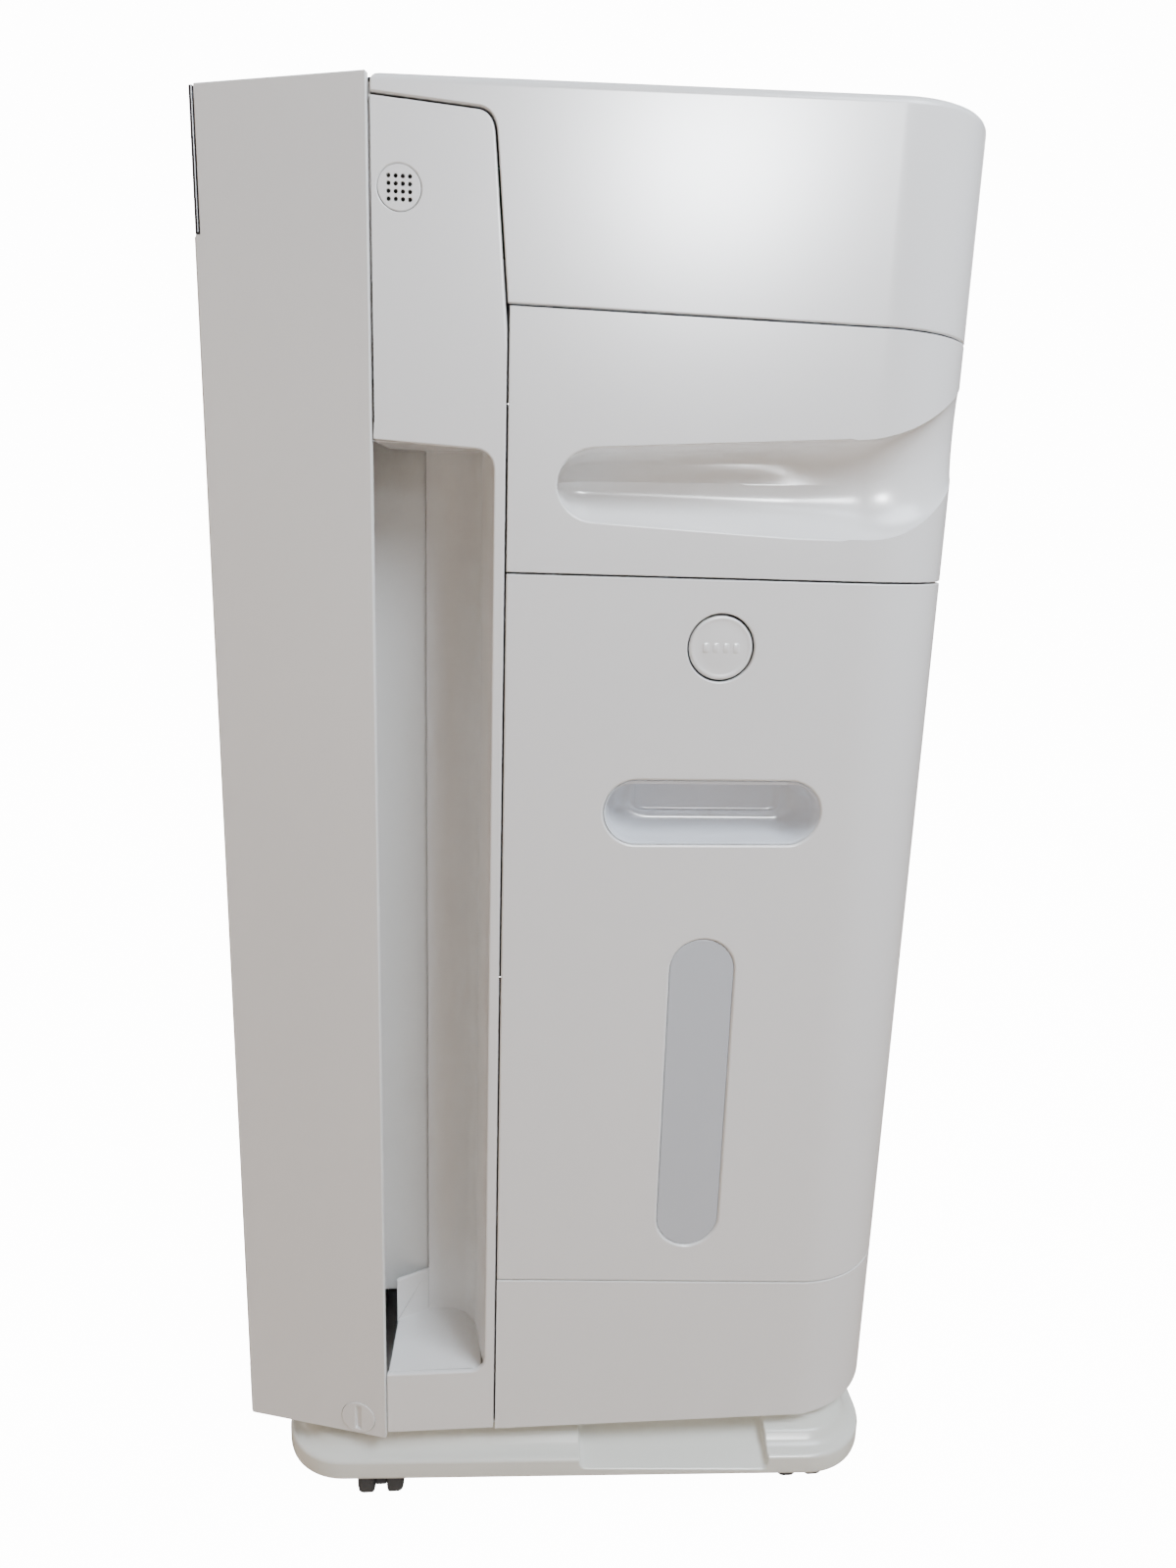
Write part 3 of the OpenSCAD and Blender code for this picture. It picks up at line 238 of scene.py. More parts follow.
def build_settled_dust():
    """Dust that settles on surfaces that face up, in a soft uneven film."""
    tree, group_in, group_out = shader_group(
        "settled_dust",
        {"Color": (0.8, 0.8, 0.8, 1.0), "Dust": (0.55, 0.52, 0.47, 1.0), "Amount": 0.1, "Roughness": 0.2},
        ("Color", "Roughness"))
    coord = tree.nodes.new("ShaderNodeTexCoord").outputs["Object"]
    normal = tree.nodes.new("ShaderNodeNewGeometry").outputs["Normal"]
    split = tree.nodes.new("ShaderNodeSeparateXYZ")
    tree.links.new(normal, split.inputs[0])
    upward = smooth_range(tree, split.outputs["Z"], 0.35, 0.95)
    film = smooth_range(tree, noise(tree, coord, 38.0, 6.0, 0.62), 0.34, 0.72)
    cover = maths(tree, "MULTIPLY", maths(tree, "MULTIPLY", upward, film), group_in.outputs["Amount"], True)
    tree.links.new(mix_colour(tree, cover, group_in.outputs["Color"], group_in.outputs["Dust"]),
                   group_out.inputs["Color"])
    dulled = maths(tree, "ADD", group_in.outputs["Roughness"], maths(tree, "MULTIPLY", cover, 0.9), True)
    tree.links.new(dulled, group_out.inputs["Roughness"])
    return tree


def build_colour_drift():
    """Two near tones of one colour, drifting slowly over the part with fine specks."""
    tree, group_in, group_out = shader_group(
        "colour_drift",
        {"Light": (0.8, 0.8, 0.8, 1.0), "Deep": (0.7, 0.7, 0.7, 1.0), "Scale": 5.0, "Specks": 0.1},
        ("Color",))
    coord = tree.nodes.new("ShaderNodeTexCoord").outputs["Object"]
    drift = smooth_range(tree, noise(tree, coord, group_in.outputs["Scale"], 3.0), 0.3, 0.7)
    specks = smooth_range(tree, noise(tree, coord, 1100.0, 2.0), 0.66, 0.74)
    base = mix_colour(tree, drift, group_in.outputs["Light"], group_in.outputs["Deep"])
    speckled = mix_colour(tree, maths(tree, "MULTIPLY", specks, group_in.outputs["Specks"]), base,
                          group_in.outputs["Deep"], "MULTIPLY")
    tree.links.new(speckled, group_out.inputs["Color"])
    return tree


GROUP_BUILDERS = {
    "moulded_grain": build_moulded_grain,
    "edge_wear": build_edge_wear,
    "settled_dust": build_settled_dust,
    "colour_drift": build_colour_drift,
}


def place_group(tree, name, **values):
    """Places a shared group in a material, building it the first time."""
    group = bpy.data.node_groups.get(name) or GROUP_BUILDERS[name]()
    node = tree.nodes.new("ShaderNodeGroup")
    node.node_tree = group
    for label, value in values.items():
        node.inputs[label.replace("_", " ")].default_value = value
    return node


def rgba(colour, factor=1.0):
    """A colour with alpha 1, darkened or lightened by a factor."""
    return tuple(min(1.0, c * factor) for c in colour[:3]) + (1.0,)


def shade(name, colour, roughness, deep=0.93, drift=5.0, specks=0.1, ripple=0.5, grit=0.1, bump=0.00012,
          wear=0.0, wear_colour=(0.9, 0.9, 0.9), dust=0.1, gloss_drift=0.05, pattern=None, **plain):
    """A moulded finish: drifting colour, worn edges, settled dust and a grained bump.
    pattern(tree, coord) gives a colour mask, a second colour and a height. plain holds socket values."""
    material = bpy.data.materials.new(name)
    material.use_nodes = True
    tree = material.node_tree
    shader = tree.nodes["Principled BSDF"]
    coord = tree.nodes.new("ShaderNodeTexCoord").outputs["Object"]
    tone = place_group(tree, "colour_drift", Light=rgba(colour), Deep=rgba(colour, deep), Scale=drift,
                       Specks=specks)
    tinted = tone.outputs["Color"]
    grain = place_group(tree, "moulded_grain", Ripple=ripple, Grit=grit)
    height = grain.outputs["Height"]
    if pattern is not None:
        mask, second, relief = pattern(tree, coord)
        tinted = mix_colour(tree, mask, tinted, rgba(second))
        height = maths(tree, "ADD", height, relief)
    if wear > 0:
        worn = place_group(tree, "edge_wear", Amount=wear)
        tinted = mix_colour(tree, worn.outputs["Mask"], tinted, rgba(wear_colour))
    film = place_group(tree, "settled_dust", Amount=dust)
    tree.links.new(tinted, film.inputs["Color"])
    mottled = smooth_range(tree, grain.outputs["Mottle"], 0.25, 0.75,
                           roughness - gloss_drift, roughness + gloss_drift)
    tree.links.new(mottled, film.inputs["Roughness"])
    tree.links.new(film.outputs["Color"], shader.inputs["Base Color"])
    tree.links.new(film.outputs["Roughness"], shader.inputs["Roughness"])
    relief_node = tree.nodes.new("ShaderNodeBump")
    relief_node.inputs["Strength"].default_value = 1.0
    relief_node.inputs["Distance"].default_value = bump
    tree.links.new(height, relief_node.inputs["Height"])
    tree.links.new(relief_node.outputs["Normal"], shader.inputs["Normal"])
    for label, value in plain.items():
        shader.inputs[label.replace("_", " ")].default_value = value
    return material


# ---- patterns of the special finishes: each gives a mask, a second colour and a height ----


def woven_pattern(tree, coord):
    """Square mesh of fine threads."""
    bricks = tree.nodes.new("ShaderNodeTexBrick")
    tree.links.new(coord, bricks.inputs["Vector"])
    bricks.offset = 0.0
    bricks.inputs["Scale"].default_value = 420.0
    bricks.inputs["Mortar Size"].default_value = 0.12
    bricks.inputs["Brick Width"].default_value = 0.5
    bricks.inputs["Row Height"].default_value = 0.5
    return bricks.outputs["Fac"], (0.16, 0.16, 0.17), maths(tree, "MULTIPLY", bricks.outputs["Fac"], 2.0)


def fibre_pattern(tree, coord):
    """Loose fibres of a filter paper."""
    fibres = noise(tree, coord, 60.0, 6.0, 0.7, (6.0, 6.0, 1.0))
    mask = smooth_range(tree, fibres, 0.45, 0.65)
    return mask, (0.70, 0.69, 0.64), maths(tree, "MULTIPLY", fibres, 3.0)


def granule_pattern(tree, coord):
    """Packed granules."""
    cells = tree.nodes.new("ShaderNodeTexVoronoi")
    tree.links.new(coord, cells.inputs["Vector"])
    cells.inputs["Scale"].default_value = 520.0
    return smooth_range(tree, cells.outputs["Distance"], 0.1, 0.5), (0.05, 0.05, 0.055), \
        maths(tree, "MULTIPLY", cells.outputs["Distance"], -4.0)


def honeycomb_pattern(tree, coord):
    """Corrugated cells of the desiccant wheel."""
    cells = tree.nodes.new("ShaderNodeTexVoronoi")
    cells.feature = "DISTANCE_TO_EDGE"
    tree.links.new(coord, cells.inputs["Vector"])
    cells.inputs["Scale"].default_value = 330.0
    walls = smooth_range(tree, cells.outputs["Distance"], 0.16, 0.04)
    return walls, (0.86, 0.84, 0.76), maths(tree, "MULTIPLY", walls, 6.0)


def trace_pattern(tree, coord):
    """Copper traces under a board's lacquer."""
    bricks = tree.nodes.new("ShaderNodeTexBrick")
    tree.links.new(coord, bricks.inputs["Vector"])
    bricks.inputs["Scale"].default_value = 70.0
    bricks.inputs["Mortar Size"].default_value = 0.05
    return bricks.outputs["Fac"], (0.10, 0.32, 0.16), bricks.outputs["Fac"]


def brushed_pattern(tree, coord):
    """Fine drawn lines of a rolled steel part."""
    lines = noise(tree, coord, 90.0, 4.0, 0.7, (1.0, 1.0, 14.0))
    return smooth_range(tree, lines, 0.35, 0.65), (0.50, 0.50, 0.52), maths(tree, "MULTIPLY", lines, 1.5)


def tread_pattern(tree, coord):
    """Scuffs on a caster's tread."""
    scuffs = smooth_range(tree, noise(tree, coord, 140.0, 5.0, 0.7), 0.5, 0.68)
    return maths(tree, "MULTIPLY", scuffs, 0.5), (0.09, 0.085, 0.08), maths(tree, "MULTIPLY", scuffs, 2.0)


# One row for each of the record's material slots. A colour or roughness may name a setting of the scene.
FINISHES = {
    "gloss_white": dict(
        colour=("dehumidifier_casing", "shell_white"), roughness=("dehumidifier_casing", "gloss"), deep=0.972,
        specks=0.04, ripple=0.7, grit=0.012, bump=0.00010, wear=0.10, wear_colour=(0.86, 0.85, 0.83),
        dust=0.06, gloss_drift=0.02, Coat_Weight=0.5, Coat_Roughness=0.05),
    "inner_white": dict(
        colour=(0.72, 0.72, 0.70), roughness=0.36, deep=0.95, ripple=0.4, grit=0.35, bump=0.00010, dust=0.18),
    "cream": dict(
        colour=("dehumidifier_tray", "tray_cream"), roughness=0.26, deep=0.95, ripple=0.6, wear=0.18,
        wear_colour=(0.84, 0.82, 0.76), dust=0.30),
    "pale_grey": dict(
        colour=("dehumidifier_tank", "grip_colour"), roughness=0.16, deep=0.95, grit=0.05, bump=0.00010,
        dust=0.08, Coat_Weight=0.3, Coat_Roughness=0.08),
    "window": dict(
        colour=("dehumidifier_tank", "window_colour"), roughness=0.24, deep=0.94, drift=9.0, ripple=0.4,
        grit=0.25, bump=0.00006, dust=0.04, Coat_Weight=0.4, Coat_Roughness=0.1, Transmission_Weight=0.12,
        IOR=1.49),
    "clear_tank": dict(
        colour=(0.80, 0.86, 0.90), roughness=0.10, deep=0.96, ripple=0.6, grit=0.03, dust=0.05,
        Transmission_Weight=0.85, IOR=1.49),
    "black_plastic": dict(
        colour=(0.020, 0.020, 0.022), roughness=0.42, deep=0.75, ripple=0.3, grit=0.6, wear=0.4,
        wear_colour=(0.10, 0.10, 0.10), dust=0.22),
    "display_black": dict(
        colour=(0.012, 0.012, 0.014), roughness=0.09, deep=0.8, grit=0.01, bump=0.00006, gloss_drift=0.03,
        Coat_Weight=1.0, Coat_Roughness=0.03),
    "wheel": dict(
        colour=(0.018, 0.018, 0.019), roughness=0.55, deep=0.7, ripple=0.3, grit=1.0, bump=0.0002, wear=0.5,
        wear_colour=(0.09, 0.088, 0.085), dust=0.35, pattern=tread_pattern),
    "steel": dict(
        colour=(0.62, 0.62, 0.64), roughness=0.30, deep=0.85, ripple=0.2, grit=0.2, bump=0.00006,
        pattern=brushed_pattern, Metallic=1.0),
    "board": dict(
        colour=(0.03, 0.17, 0.08), roughness=0.34, deep=0.85, dust=0.15, bump=0.0001, pattern=trace_pattern),
    "mesh": dict(
        colour=(0.035, 0.035, 0.04), roughness=0.60, dust=0.25, bump=0.0002, pattern=woven_pattern),
    "filter_paper": dict(
        colour=(0.84, 0.83, 0.79), roughness=0.85, dust=0.12, bump=0.0002, pattern=fibre_pattern),
    "carbon": dict(colour=(0.018, 0.018, 0.020), roughness=0.70, bump=0.0004, pattern=granule_pattern),
    "desiccant": dict(
        colour=(0.42, 0.40, 0.34), roughness=0.80, dust=0.05, bump=0.0005, pattern=honeycomb_pattern),
    "heater": dict(
        colour=(0.56, 0.55, 0.51), roughness=0.38, deep=0.85, dust=0.08, bump=0.00008,
        pattern=brushed_pattern, Metallic=0.8),
}


def set_value(value):
    """The value itself, or the setting that a (group, property) pair names."""
    if isinstance(value, tuple) and isinstance(value[0], str):
        return getattr(getattr(bpy.context.scene, value[0]), value[1])
    return value


def build_finish(slot):
    """The material for one of the record's material slots."""
    return shade(slot, **{label: set_value(value) for label, value in FINISHES[slot].items()})


def finish_of(slot):
    """The slot's material, built once."""
    return bpy.data.materials.get(slot) or build_finish(slot)


def painted(node, slot):
    """Gives a carried-over CAD node its finish."""
    cad = NODES[node]
    for holder in cad.material_slots:
        holder.material = finish_of(slot)
    return cad


# ---- mesh helpers: drawings are in millimetres ----


def put(name, mesh, body, slot, *nodes):
    """Adds a mesh as a piece that rides on a body and stands for CAD nodes."""
    piece = bpy.data.objects.new(name, mesh)
    bpy.context.scene.collection.objects.link(piece)
    mesh.materials.clear()
    mesh.materials.append(finish_of(slot))
    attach(piece, body)
    if nodes:
        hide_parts(*nodes)
    return piece


def to_mesh(bm, name, crease_angle=32.0):
    """Writes a bmesh out in metres, smooth but for its sharp edges."""
    bmesh.ops.recalc_face_normals(bm, faces=bm.faces)
    limit = math.radians(crease_angle)
    for face in bm.faces:
        face.smooth = True
    for edge in bm.edges:
        edge.smooth = len(edge.link_faces) == 2 and edge.calc_face_angle(0.0) < limit
    mesh = bpy.data.meshes.new(name)
    bm.to_mesh(mesh)
    bm.free()
    return mesh


def loft(rings, cap_start=True, cap_end=True):
    """A bmesh skinned over closed rings of equal length, given in millimetres."""
    bm = bmesh.new()
    rows = [[bm.verts.new(Vector(p) * MM) for p in ring] for ring in rings]
    count = len(rings[0])
    for lower, upper in zip(rows, rows[1:]):
        for k in range(count):
            j = (k + 1) % count
            bm.faces.new((lower[k], lower[j], upper[j], upper[k]))
    if cap_start:
        bm.faces.new(rows[0][::-1])
    if cap_end:
        bm.faces.new(rows[-1])
    bmesh.ops.recalc_face_normals(bm, faces=bm.faces)
    return bm


def turned(profile, centre, steps=64):
    """A solid turned about the Y axis from (radius, y) points, closed on itself."""
    rings = []
    for k in range(steps):
        a = 2 * math.pi * k / steps
        rings.append([(centre[0] + r * math.cos(a), centre[1] + y, centre[2] + r * math.sin(a))
                      for r, y in profile])
    return loft(rings + rings[:1], False, False)


def arc(cx, cy, r, start, end, steps=8):
    """Points on an arc, with angles in degrees."""
    return [(cx + r * math.cos(math.radians(start + (end - start) * k / steps)),
             cy + r * math.sin(math.radians(start + (end - start) * k / steps))) for k in range(steps + 1)]


def rounded(cx, cy, w, h, r, steps=10):
    """A rounded rectangle round a centre."""
    x, y = w / 2 - r, h / 2 - r
    return (arc(cx + x, cy - y, r, -90, 0, steps) + arc(cx + x, cy + y, r, 0, 90, steps)
            + arc(cx - x, cy + y, r, 90, 180, steps) + arc(cx - x, cy - y, r, 180, 270, steps))


def walk(points, count):
    """A closed outline's points, spaced evenly along it, from the rightmost middle."""
    sides = list(zip(points, points[1:] + points[:1]))
    lengths = [math.dist(a, b) for a, b in sides]
    total = sum(lengths)
    made, k, run = [], 0, 0.0
    for n in range(count):
        target = total * n / count
        while k < len(sides) - 1 and run + lengths[k] < target:
            run += lengths[k]
            k += 1
        (ax, ay), (bx, by) = sides[k]
        t = (target - run) / lengths[k] if lengths[k] else 0.0
        made.append((ax + (bx - ax) * t, ay + (by - ay) * t))
    return made


def joined(piece_bm, other_bm):
    """Adds a second bmesh to the first."""
    spare = bpy.data.meshes.new("spare")
    other_bm.to_mesh(spare)
    other_bm.free()
    piece_bm.from_mesh(spare)
    bpy.data.meshes.remove(spare)
    return piece_bm


def combined(bm, cutters, operation="DIFFERENCE"):
    """bm with each cutter taken away from it, added to it or kept in common with it."""
    scene = bpy.context.scene
    mesh = bpy.data.meshes.new("blank")
    bm.to_mesh(mesh)
    bm.free()
    blank = bpy.data.objects.new("blank", mesh)
    scene.collection.objects.link(blank)
    helpers = []
    for cutter in cutters:
        cutter_mesh = bpy.data.meshes.new("cutter")
        cutter.to_mesh(cutter_mesh)
        cutter.free()
        helper = bpy.data.objects.new("cutter", cutter_mesh)
        scene.collection.objects.link(helper)
        helpers.append(helper)
        modifier = blank.modifiers.new("cut", "BOOLEAN")
        modifier.operation = operation
        modifier.solver = "EXACT"
        modifier.object = helper
    bpy.context.view_layer.update()
    evaluated = blank.evaluated_get(bpy.context.evaluated_depsgraph_get())
    result = bmesh.new()
    result.from_mesh(evaluated.to_mesh())
    evaluated.to_mesh_clear()
    for o in [blank, *helpers]:
        data = o.data
        bpy.data.objects.remove(o)
        bpy.data.meshes.remove(data)
    return result


def tidy(bm, flat=0.1, gap=0.00002):
    """Joins doubled points and melts flat facets together."""
    bmesh.ops.remove_doubles(bm, verts=bm.verts, dist=gap)
    bmesh.ops.dissolve_limit(bm, angle_limit=math.radians(flat), verts=bm.verts, edges=bm.edges)
    bmesh.ops.recalc_face_normals(bm, faces=bm.faces)


def round_edges(bm, chosen, width, steps=3):
    """Rounds the sharp edges for which chosen(edge) is true."""
    sharp = [e for e in bm.edges if len(e.link_faces) == 2 and e.calc_face_angle(0.0) > math.radians(25)]
    edges = [e for e in sharp if chosen(e)]
    if edges:
        bmesh.ops.bevel(bm, geom=edges, offset=width, offset_type="OFFSET", segments=steps, profile=0.5,
                        affect="EDGES", clamp_overlap=False)


def soften(piece, width, steps=2, angle=32.0):
    """Rounds every sharp edge that is left on a piece, and keeps its large faces flat in the light."""
    if width > 0:
        bevel = piece.modifiers.new("edge rounding", "BEVEL")
        bevel.width = width
        bevel.segments = steps
        bevel.limit_method = "ANGLE"
        bevel.angle_limit = math.radians(angle)
        bevel.use_clamp_overlap = False
        bevel.harden_normals = True
        bevel.miter_outer = "MITER_ARC"
    flat = piece.modifiers.new("flat faces", "WEIGHTED_NORMAL")
    flat.keep_sharp = True
    flat.weight = 50
    return piece


def middle(edge):
    """Midpoint of an edge, in millimetres."""
    return (edge.verts[0].co + edge.verts[1].co) / (2 * MM)


def moulding(node, name, slot, body, width=None, rules=(), keep=None, split=None):
    """A clean copy of a CAD node's shape with rounded edges, which stands for the node.
    rules are (chosen, width, steps), rounded first and in order; split divides long edges at a height."""
    bm = bmesh.new()
    bm.from_mesh(NODES[node].data)
    tidy(bm)
    if keep is not None:
        drop_islands(bm, keep)
    if split is not None:
        whole = [*bm.verts, *bm.edges, *bm.faces]
        bmesh.ops.bisect_plane(bm, geom=whole, plane_co=(0, 0, split * MM), plane_no=(0, 0, 1))
    for chosen, radius, steps in rules:
        round_edges(bm, chosen, radius, steps)
    if width == 0:
        bmesh.ops.triangulate(bm, faces=[f for f in bm.faces if len(f.verts) > 8])
    piece = put(name, to_mesh(bm, name), body, slot, node)
    return soften(piece, bpy.context.scene.dehumidifier_casing.seam_radius if width is None else width)


def drop_islands(bm, keep):
    """Removes the loose parts for which keep(lowest, highest) is false."""
    left = set(bm.verts)
    while left:
        island, edge_of = set(), [left.pop()]
        while edge_of:
            vert = edge_of.pop()
            island.add(vert)
            for edge in vert.link_edges:
                other = edge.other_vert(vert)
                if other in left:
                    left.discard(other)
                    edge_of.append(other)
        low = [min(v.co[i] for v in island) / MM for i in range(3)]
        high = [max(v.co[i] for v in island) / MM for i in range(3)]
        if not keep(low, high):
            bmesh.ops.delete(bm, geom=list(island), context="VERTS")


def prism_y(points, y0, y1):
    """A prism along Y drawn as (x, z) points."""
    return loft([[(x, y0, z) for x, z in points], [(x, y1, z) for x, z in points]])


def on_outline(point, reach=3.0):
    """True for a point near the body's outer wall in plan."""
    x, y = abs(point.x), point.y
    if x > REAR_CENTRE[0] and y > REAR_CENTRE[1]:
        return math.hypot(x - REAR_CENTRE[0], y - REAR_CENTRE[1]) > REAR_R - reach
    return x > HALF_W - reach or y > REAR_Y - reach


# ---- operators: one for each piece or group of like pieces ----


class PieceOperator:
    """What every piece's operator shares."""
    bl_options = {"REGISTER", "UNDO"}


class DEHUM_OT_casing(PieceOperator, bpy.types.Operator):
    """Base skirt, rear casing, upper housing and both intake columns"""
    bl_idname = "dehum.casing"
    bl_label = "Casing mouldings"

    def execute(self, context):
        casing = context.scene.dehumidifier_casing

        def top_rim(edge):
            p = middle(edge)
            level = abs(p.z - top_z(p.y)) < 0.3
            beside_wing = p.y < CORNER_Y + 2.5 and abs(p.x) > 160.0
            return level and (on_outline(p, 1.0) or p.y < -160.0 or beside_wing)

        def skirt_rim(edge):
            p = middle(edge)
            return on_outline(p, 0.3) and (p.z > low_seam_z(p.y) - 1.2 or p.z < FLOOR_GAP + 0.3)

        def slot_lip(edge):
            p = middle(edge)
            inside = CORNER_Y + 2.0 < p.y < -43.0 and 84.0 < p.z < 556.0
            return inside and abs(p.x) > 191.0

        def column_rim(edge):
            p = middle(edge)
            from_sensor = math.hypot(p.y - SENSOR_AT[0], p.z - SENSOR_AT[1])
            return abs(p.x) > 191.0 and p.z > 595.0 and p.y > CORNER_Y + 3.0 and from_sensor > 12.0

        moulding("upper_housing", "upper_housing_shell", "gloss_white", "body",
                 rules=[(top_rim, casing.crown_radius, 5)])
        moulding("base_skirt", "base_skirt_shell", "gloss_white", "body", 0.0,
                 rules=[(skirt_rim, casing.seam_radius, 2)])
        moulding("rear_casing", "rear_casing_shell", "gloss_white", "body")
        for side in ("right", "left"):
            moulding("intake_column_" + side, "intake_column_" + side + "_shell", "gloss_white", "body",
                     rules=[(slot_lip, 1.0 * MM, 3), (column_rim, 0.8 * MM, 3)])
        moulding("sensor_grille", "sensor_grille_face", "gloss_white", "body", 0.15 * MM)
        moulding("carry_handle", "carry_handle_cup", "inner_white", "body", 0.8 * MM)
        moulding("base_pan", "base_pan_shell", "inner_white", "body", 0.6 * MM)
        moulding("casing_screws", "casing_screw_heads", "steel", "body", 0.3 * MM)
        moulding("cord_gland", "cord_gland_ring", "black_plastic", "body", 0.5 * MM)
        return {"FINISHED"}


class DEHUM_OT_front(PieceOperator, bpy.types.Operator):
    """Front panel with its wings, display insert and coin locks"""
    bl_idname = "dehum.front"
    bl_label = "Front panel"

    def execute(self, context):
        def above_lock(edge):
            lowest = min(vert.co.z for vert in edge.verts) / MM
            return lowest > LOCK_TOP - 0.5 and top_z(0.0) - middle(edge).z > 12.0

        def top_rim(edge):
            p = middle(edge)
            return abs(p.z - top_z(p.y)) < 0.3

        moulding("front_panel", "front_panel_shell", "gloss_white", "front_panel", 0.0,
                 rules=[(top_rim, 0.9 * MM, 3), (above_lock, 0.5 * MM, 2)], split=LOCK_TOP)
        moulding("display_insert", "display_window", "display_black", "front_panel", 0.5 * MM)
        for side in ("right", "left"):
            lock = "coin_lock_" + side
            moulding(lock, lock + "_disc", "gloss_white", "lock_" + side, 0.3 * MM)
        return {"FINISHED"}


def tray_outline(inset, z, steps=14):
    """The tray's outline at height z, drawn in from its rim."""
    front, rear = (158.0, -117.0, 34.0), (168.0, 133.0, 35.0)
    lean = -math.degrees(math.asin(0.044))
    right = (arc(front[0], front[1], front[2] - inset, -90, lean, steps)
             + arc(rear[0], rear[1], rear[2] - inset, lean, 90, steps))
    left = [(-x, y) for x, y in reversed(right)]
    return [(x, y, z) for x, y in right + left]


class DEHUM_OT_tray(PieceOperator, bpy.types.Operator):
    """Caster tray with its rolled rim and side notches"""
    bl_idname = "dehum.tray"
    bl_label = "Caster tray"

    def execute(self, context):
        under = [(30, 30.0), (28.5, 25.2), (5.0, 25.2), (4.2, 24.8), (3.6, 23.4), (2.6, 23.0), (1.2, 23.3)]
        rim = [(0.3, 24.2), (0.0, 25.6), (0.0, 33.2), (0.35, 34.4), (1.1, 35.2), (2.2, 35.5), (3.6, 35.7)]
        steps = [(6.0, 36.6), (8.2, 38.6), (9.6, 41.0), (11.8, 42.6), (16.0, 43.4), (18.4, 44.8),
                 (19.6, 47.0), (20.0, 51.9)]
        bm = loft([tray_outline(inset, z) for inset, z in under + rim + steps])
        cutters = []
        for side in (1, -1):
            floor_line = ((172.0, 60.0), (172.0, 39.6), (178.0, 37.6), (202.0, 27.0), (214.0, 27.0),
                          (214.0, 60.0))
            notch = prism_y([(side * x, z) for x, z in floor_line], 7.0, 109.0)
            corners = [e for e in notch.edges
                       if all(abs(v.co.y - e.verts[0].co.y) < 1e-6 for v in e.verts) and
                       middle(e).z < 45.0 and e.calc_face_angle(0.0) > 1.0]
            bmesh.ops.bevel(notch, geom=corners, offset=3.5 * MM, offset_type="OFFSET", segments=4,
                            profile=0.5, affect="EDGES")
            cutters.append(notch)
            for x, y in CASTERS.values():
                inner, outer = side * (x - 38), side * (x + 17.5)
                pocket = [(inner, 0.0), (outer, 0.0), (outer, 33.5), (inner, 33.5)]
                cutters.append(prism_y(pocket, y - 15.0, y + 15.0))
        bm = combined(bm, cutters)
        tidy(bm)
        mesh = to_mesh(bm, "caster_tray_moulding", 38.0)
        piece = put("caster_tray_moulding", mesh, "body", "cream", "caster_tray")
        soften(piece, 0.7 * MM, 3, 42.0)
        return {"FINISHED"}


class DEHUM_OT_casters(PieceOperator, bpy.types.Operator):
    """Four twin-wheel casters in their forks"""
    bl_idname = "dehum.casters"
    bl_label = "Casters"

    def execute(self, context):
        tread = [(3.05, 3.5), (14.6, 3.5), (15.5, 3.8), (16.0, 4.8), (16.0, 9.4), (15.7, 10.6), (14.9, 11.6)]
        hub = [(13.6, 12.0), (12.6, 11.9), (12.2, 11.0), (6.2, 11.0), (5.8, 11.7), (5.0, 11.9), (3.05, 11.9)]
        half = tread + hub
        for end, (x, y) in CASTERS.items():
            for side, sign in (("right", 1), ("left", -1)):
                place = (sign * x, y, CASTER_R)
                bm = joined(turned(half, place), turned([(r, -d) for r, d in half], place))
                corner = end + "_" + side
                name = "caster_wheel_" + corner
                put(name, to_mesh(bm, name, 50.0), "wheel_" + corner, "wheel", "wheel_" + corner)
        moulding("caster_housings", "caster_forks", "black_plastic", "body", 0.8 * MM)
        painted("caster_axles", "steel")
        return {"FINISHED"}


def blend_value(s, a, b):
    """Smooth step of s between a and b."""
    t = max(0.0, min(1.0, (s - a) / (b - a)))
    return t * t * (3 - 2 * t)


def cup_rings(y, z, w, h, count=128):
    """Rings of a grip cup: a stadium opening that narrows over a hollow floor to a flat back face.
    Depth is measured inwards from the side face."""
    opening = walk(rounded(y, z, w, h, h / 2 - 0.01, 16), count)
    low = z - 4.6
    back = walk(rounded(y + 1.6, (low + z + 12.2) / 2, 0.71 * w, z + 12.2 - low, 4.0, 8), count)

    def ring(mix, depth, hollow=0.0, inset=0.0):
        made = []
        for (oy, oz), (by, bz) in zip(opening, back):
            py, pz = oy + (by - oy) * mix, oz + (bz - oz) * mix
            floor = 1.0 - blend_value(bz, low, low + 5.0)
            made.append((HALF_W - depth - hollow * floor, py + (y - py) * inset,
                         pz + (z + 4.0 - pz) * inset))
        return made

    steps = [k / 24 for k in range(1, 24)]
    wall = [ring(0.10 + 0.90 * t * t, 4.0 + 18.8 * math.sin(math.radians(90 * t)) ** 0.9,
                 2.2 * math.sin(math.radians(180 * t)) * t) for t in steps]
    lip = [ring(0.0, 0.6), ring(0.012, 0.5), ring(0.03, 0.9), ring(0.055, 1.8), ring(0.08, 3.0)]
    face = [ring(1.0, depth, 0.0, inset)
            for depth, inset in ((22.6, 0.0), (22.9, 0.02), (23.6, 0.05), (23.8, 0.12), (23.8, 0.8))]
    return lip + wall + face


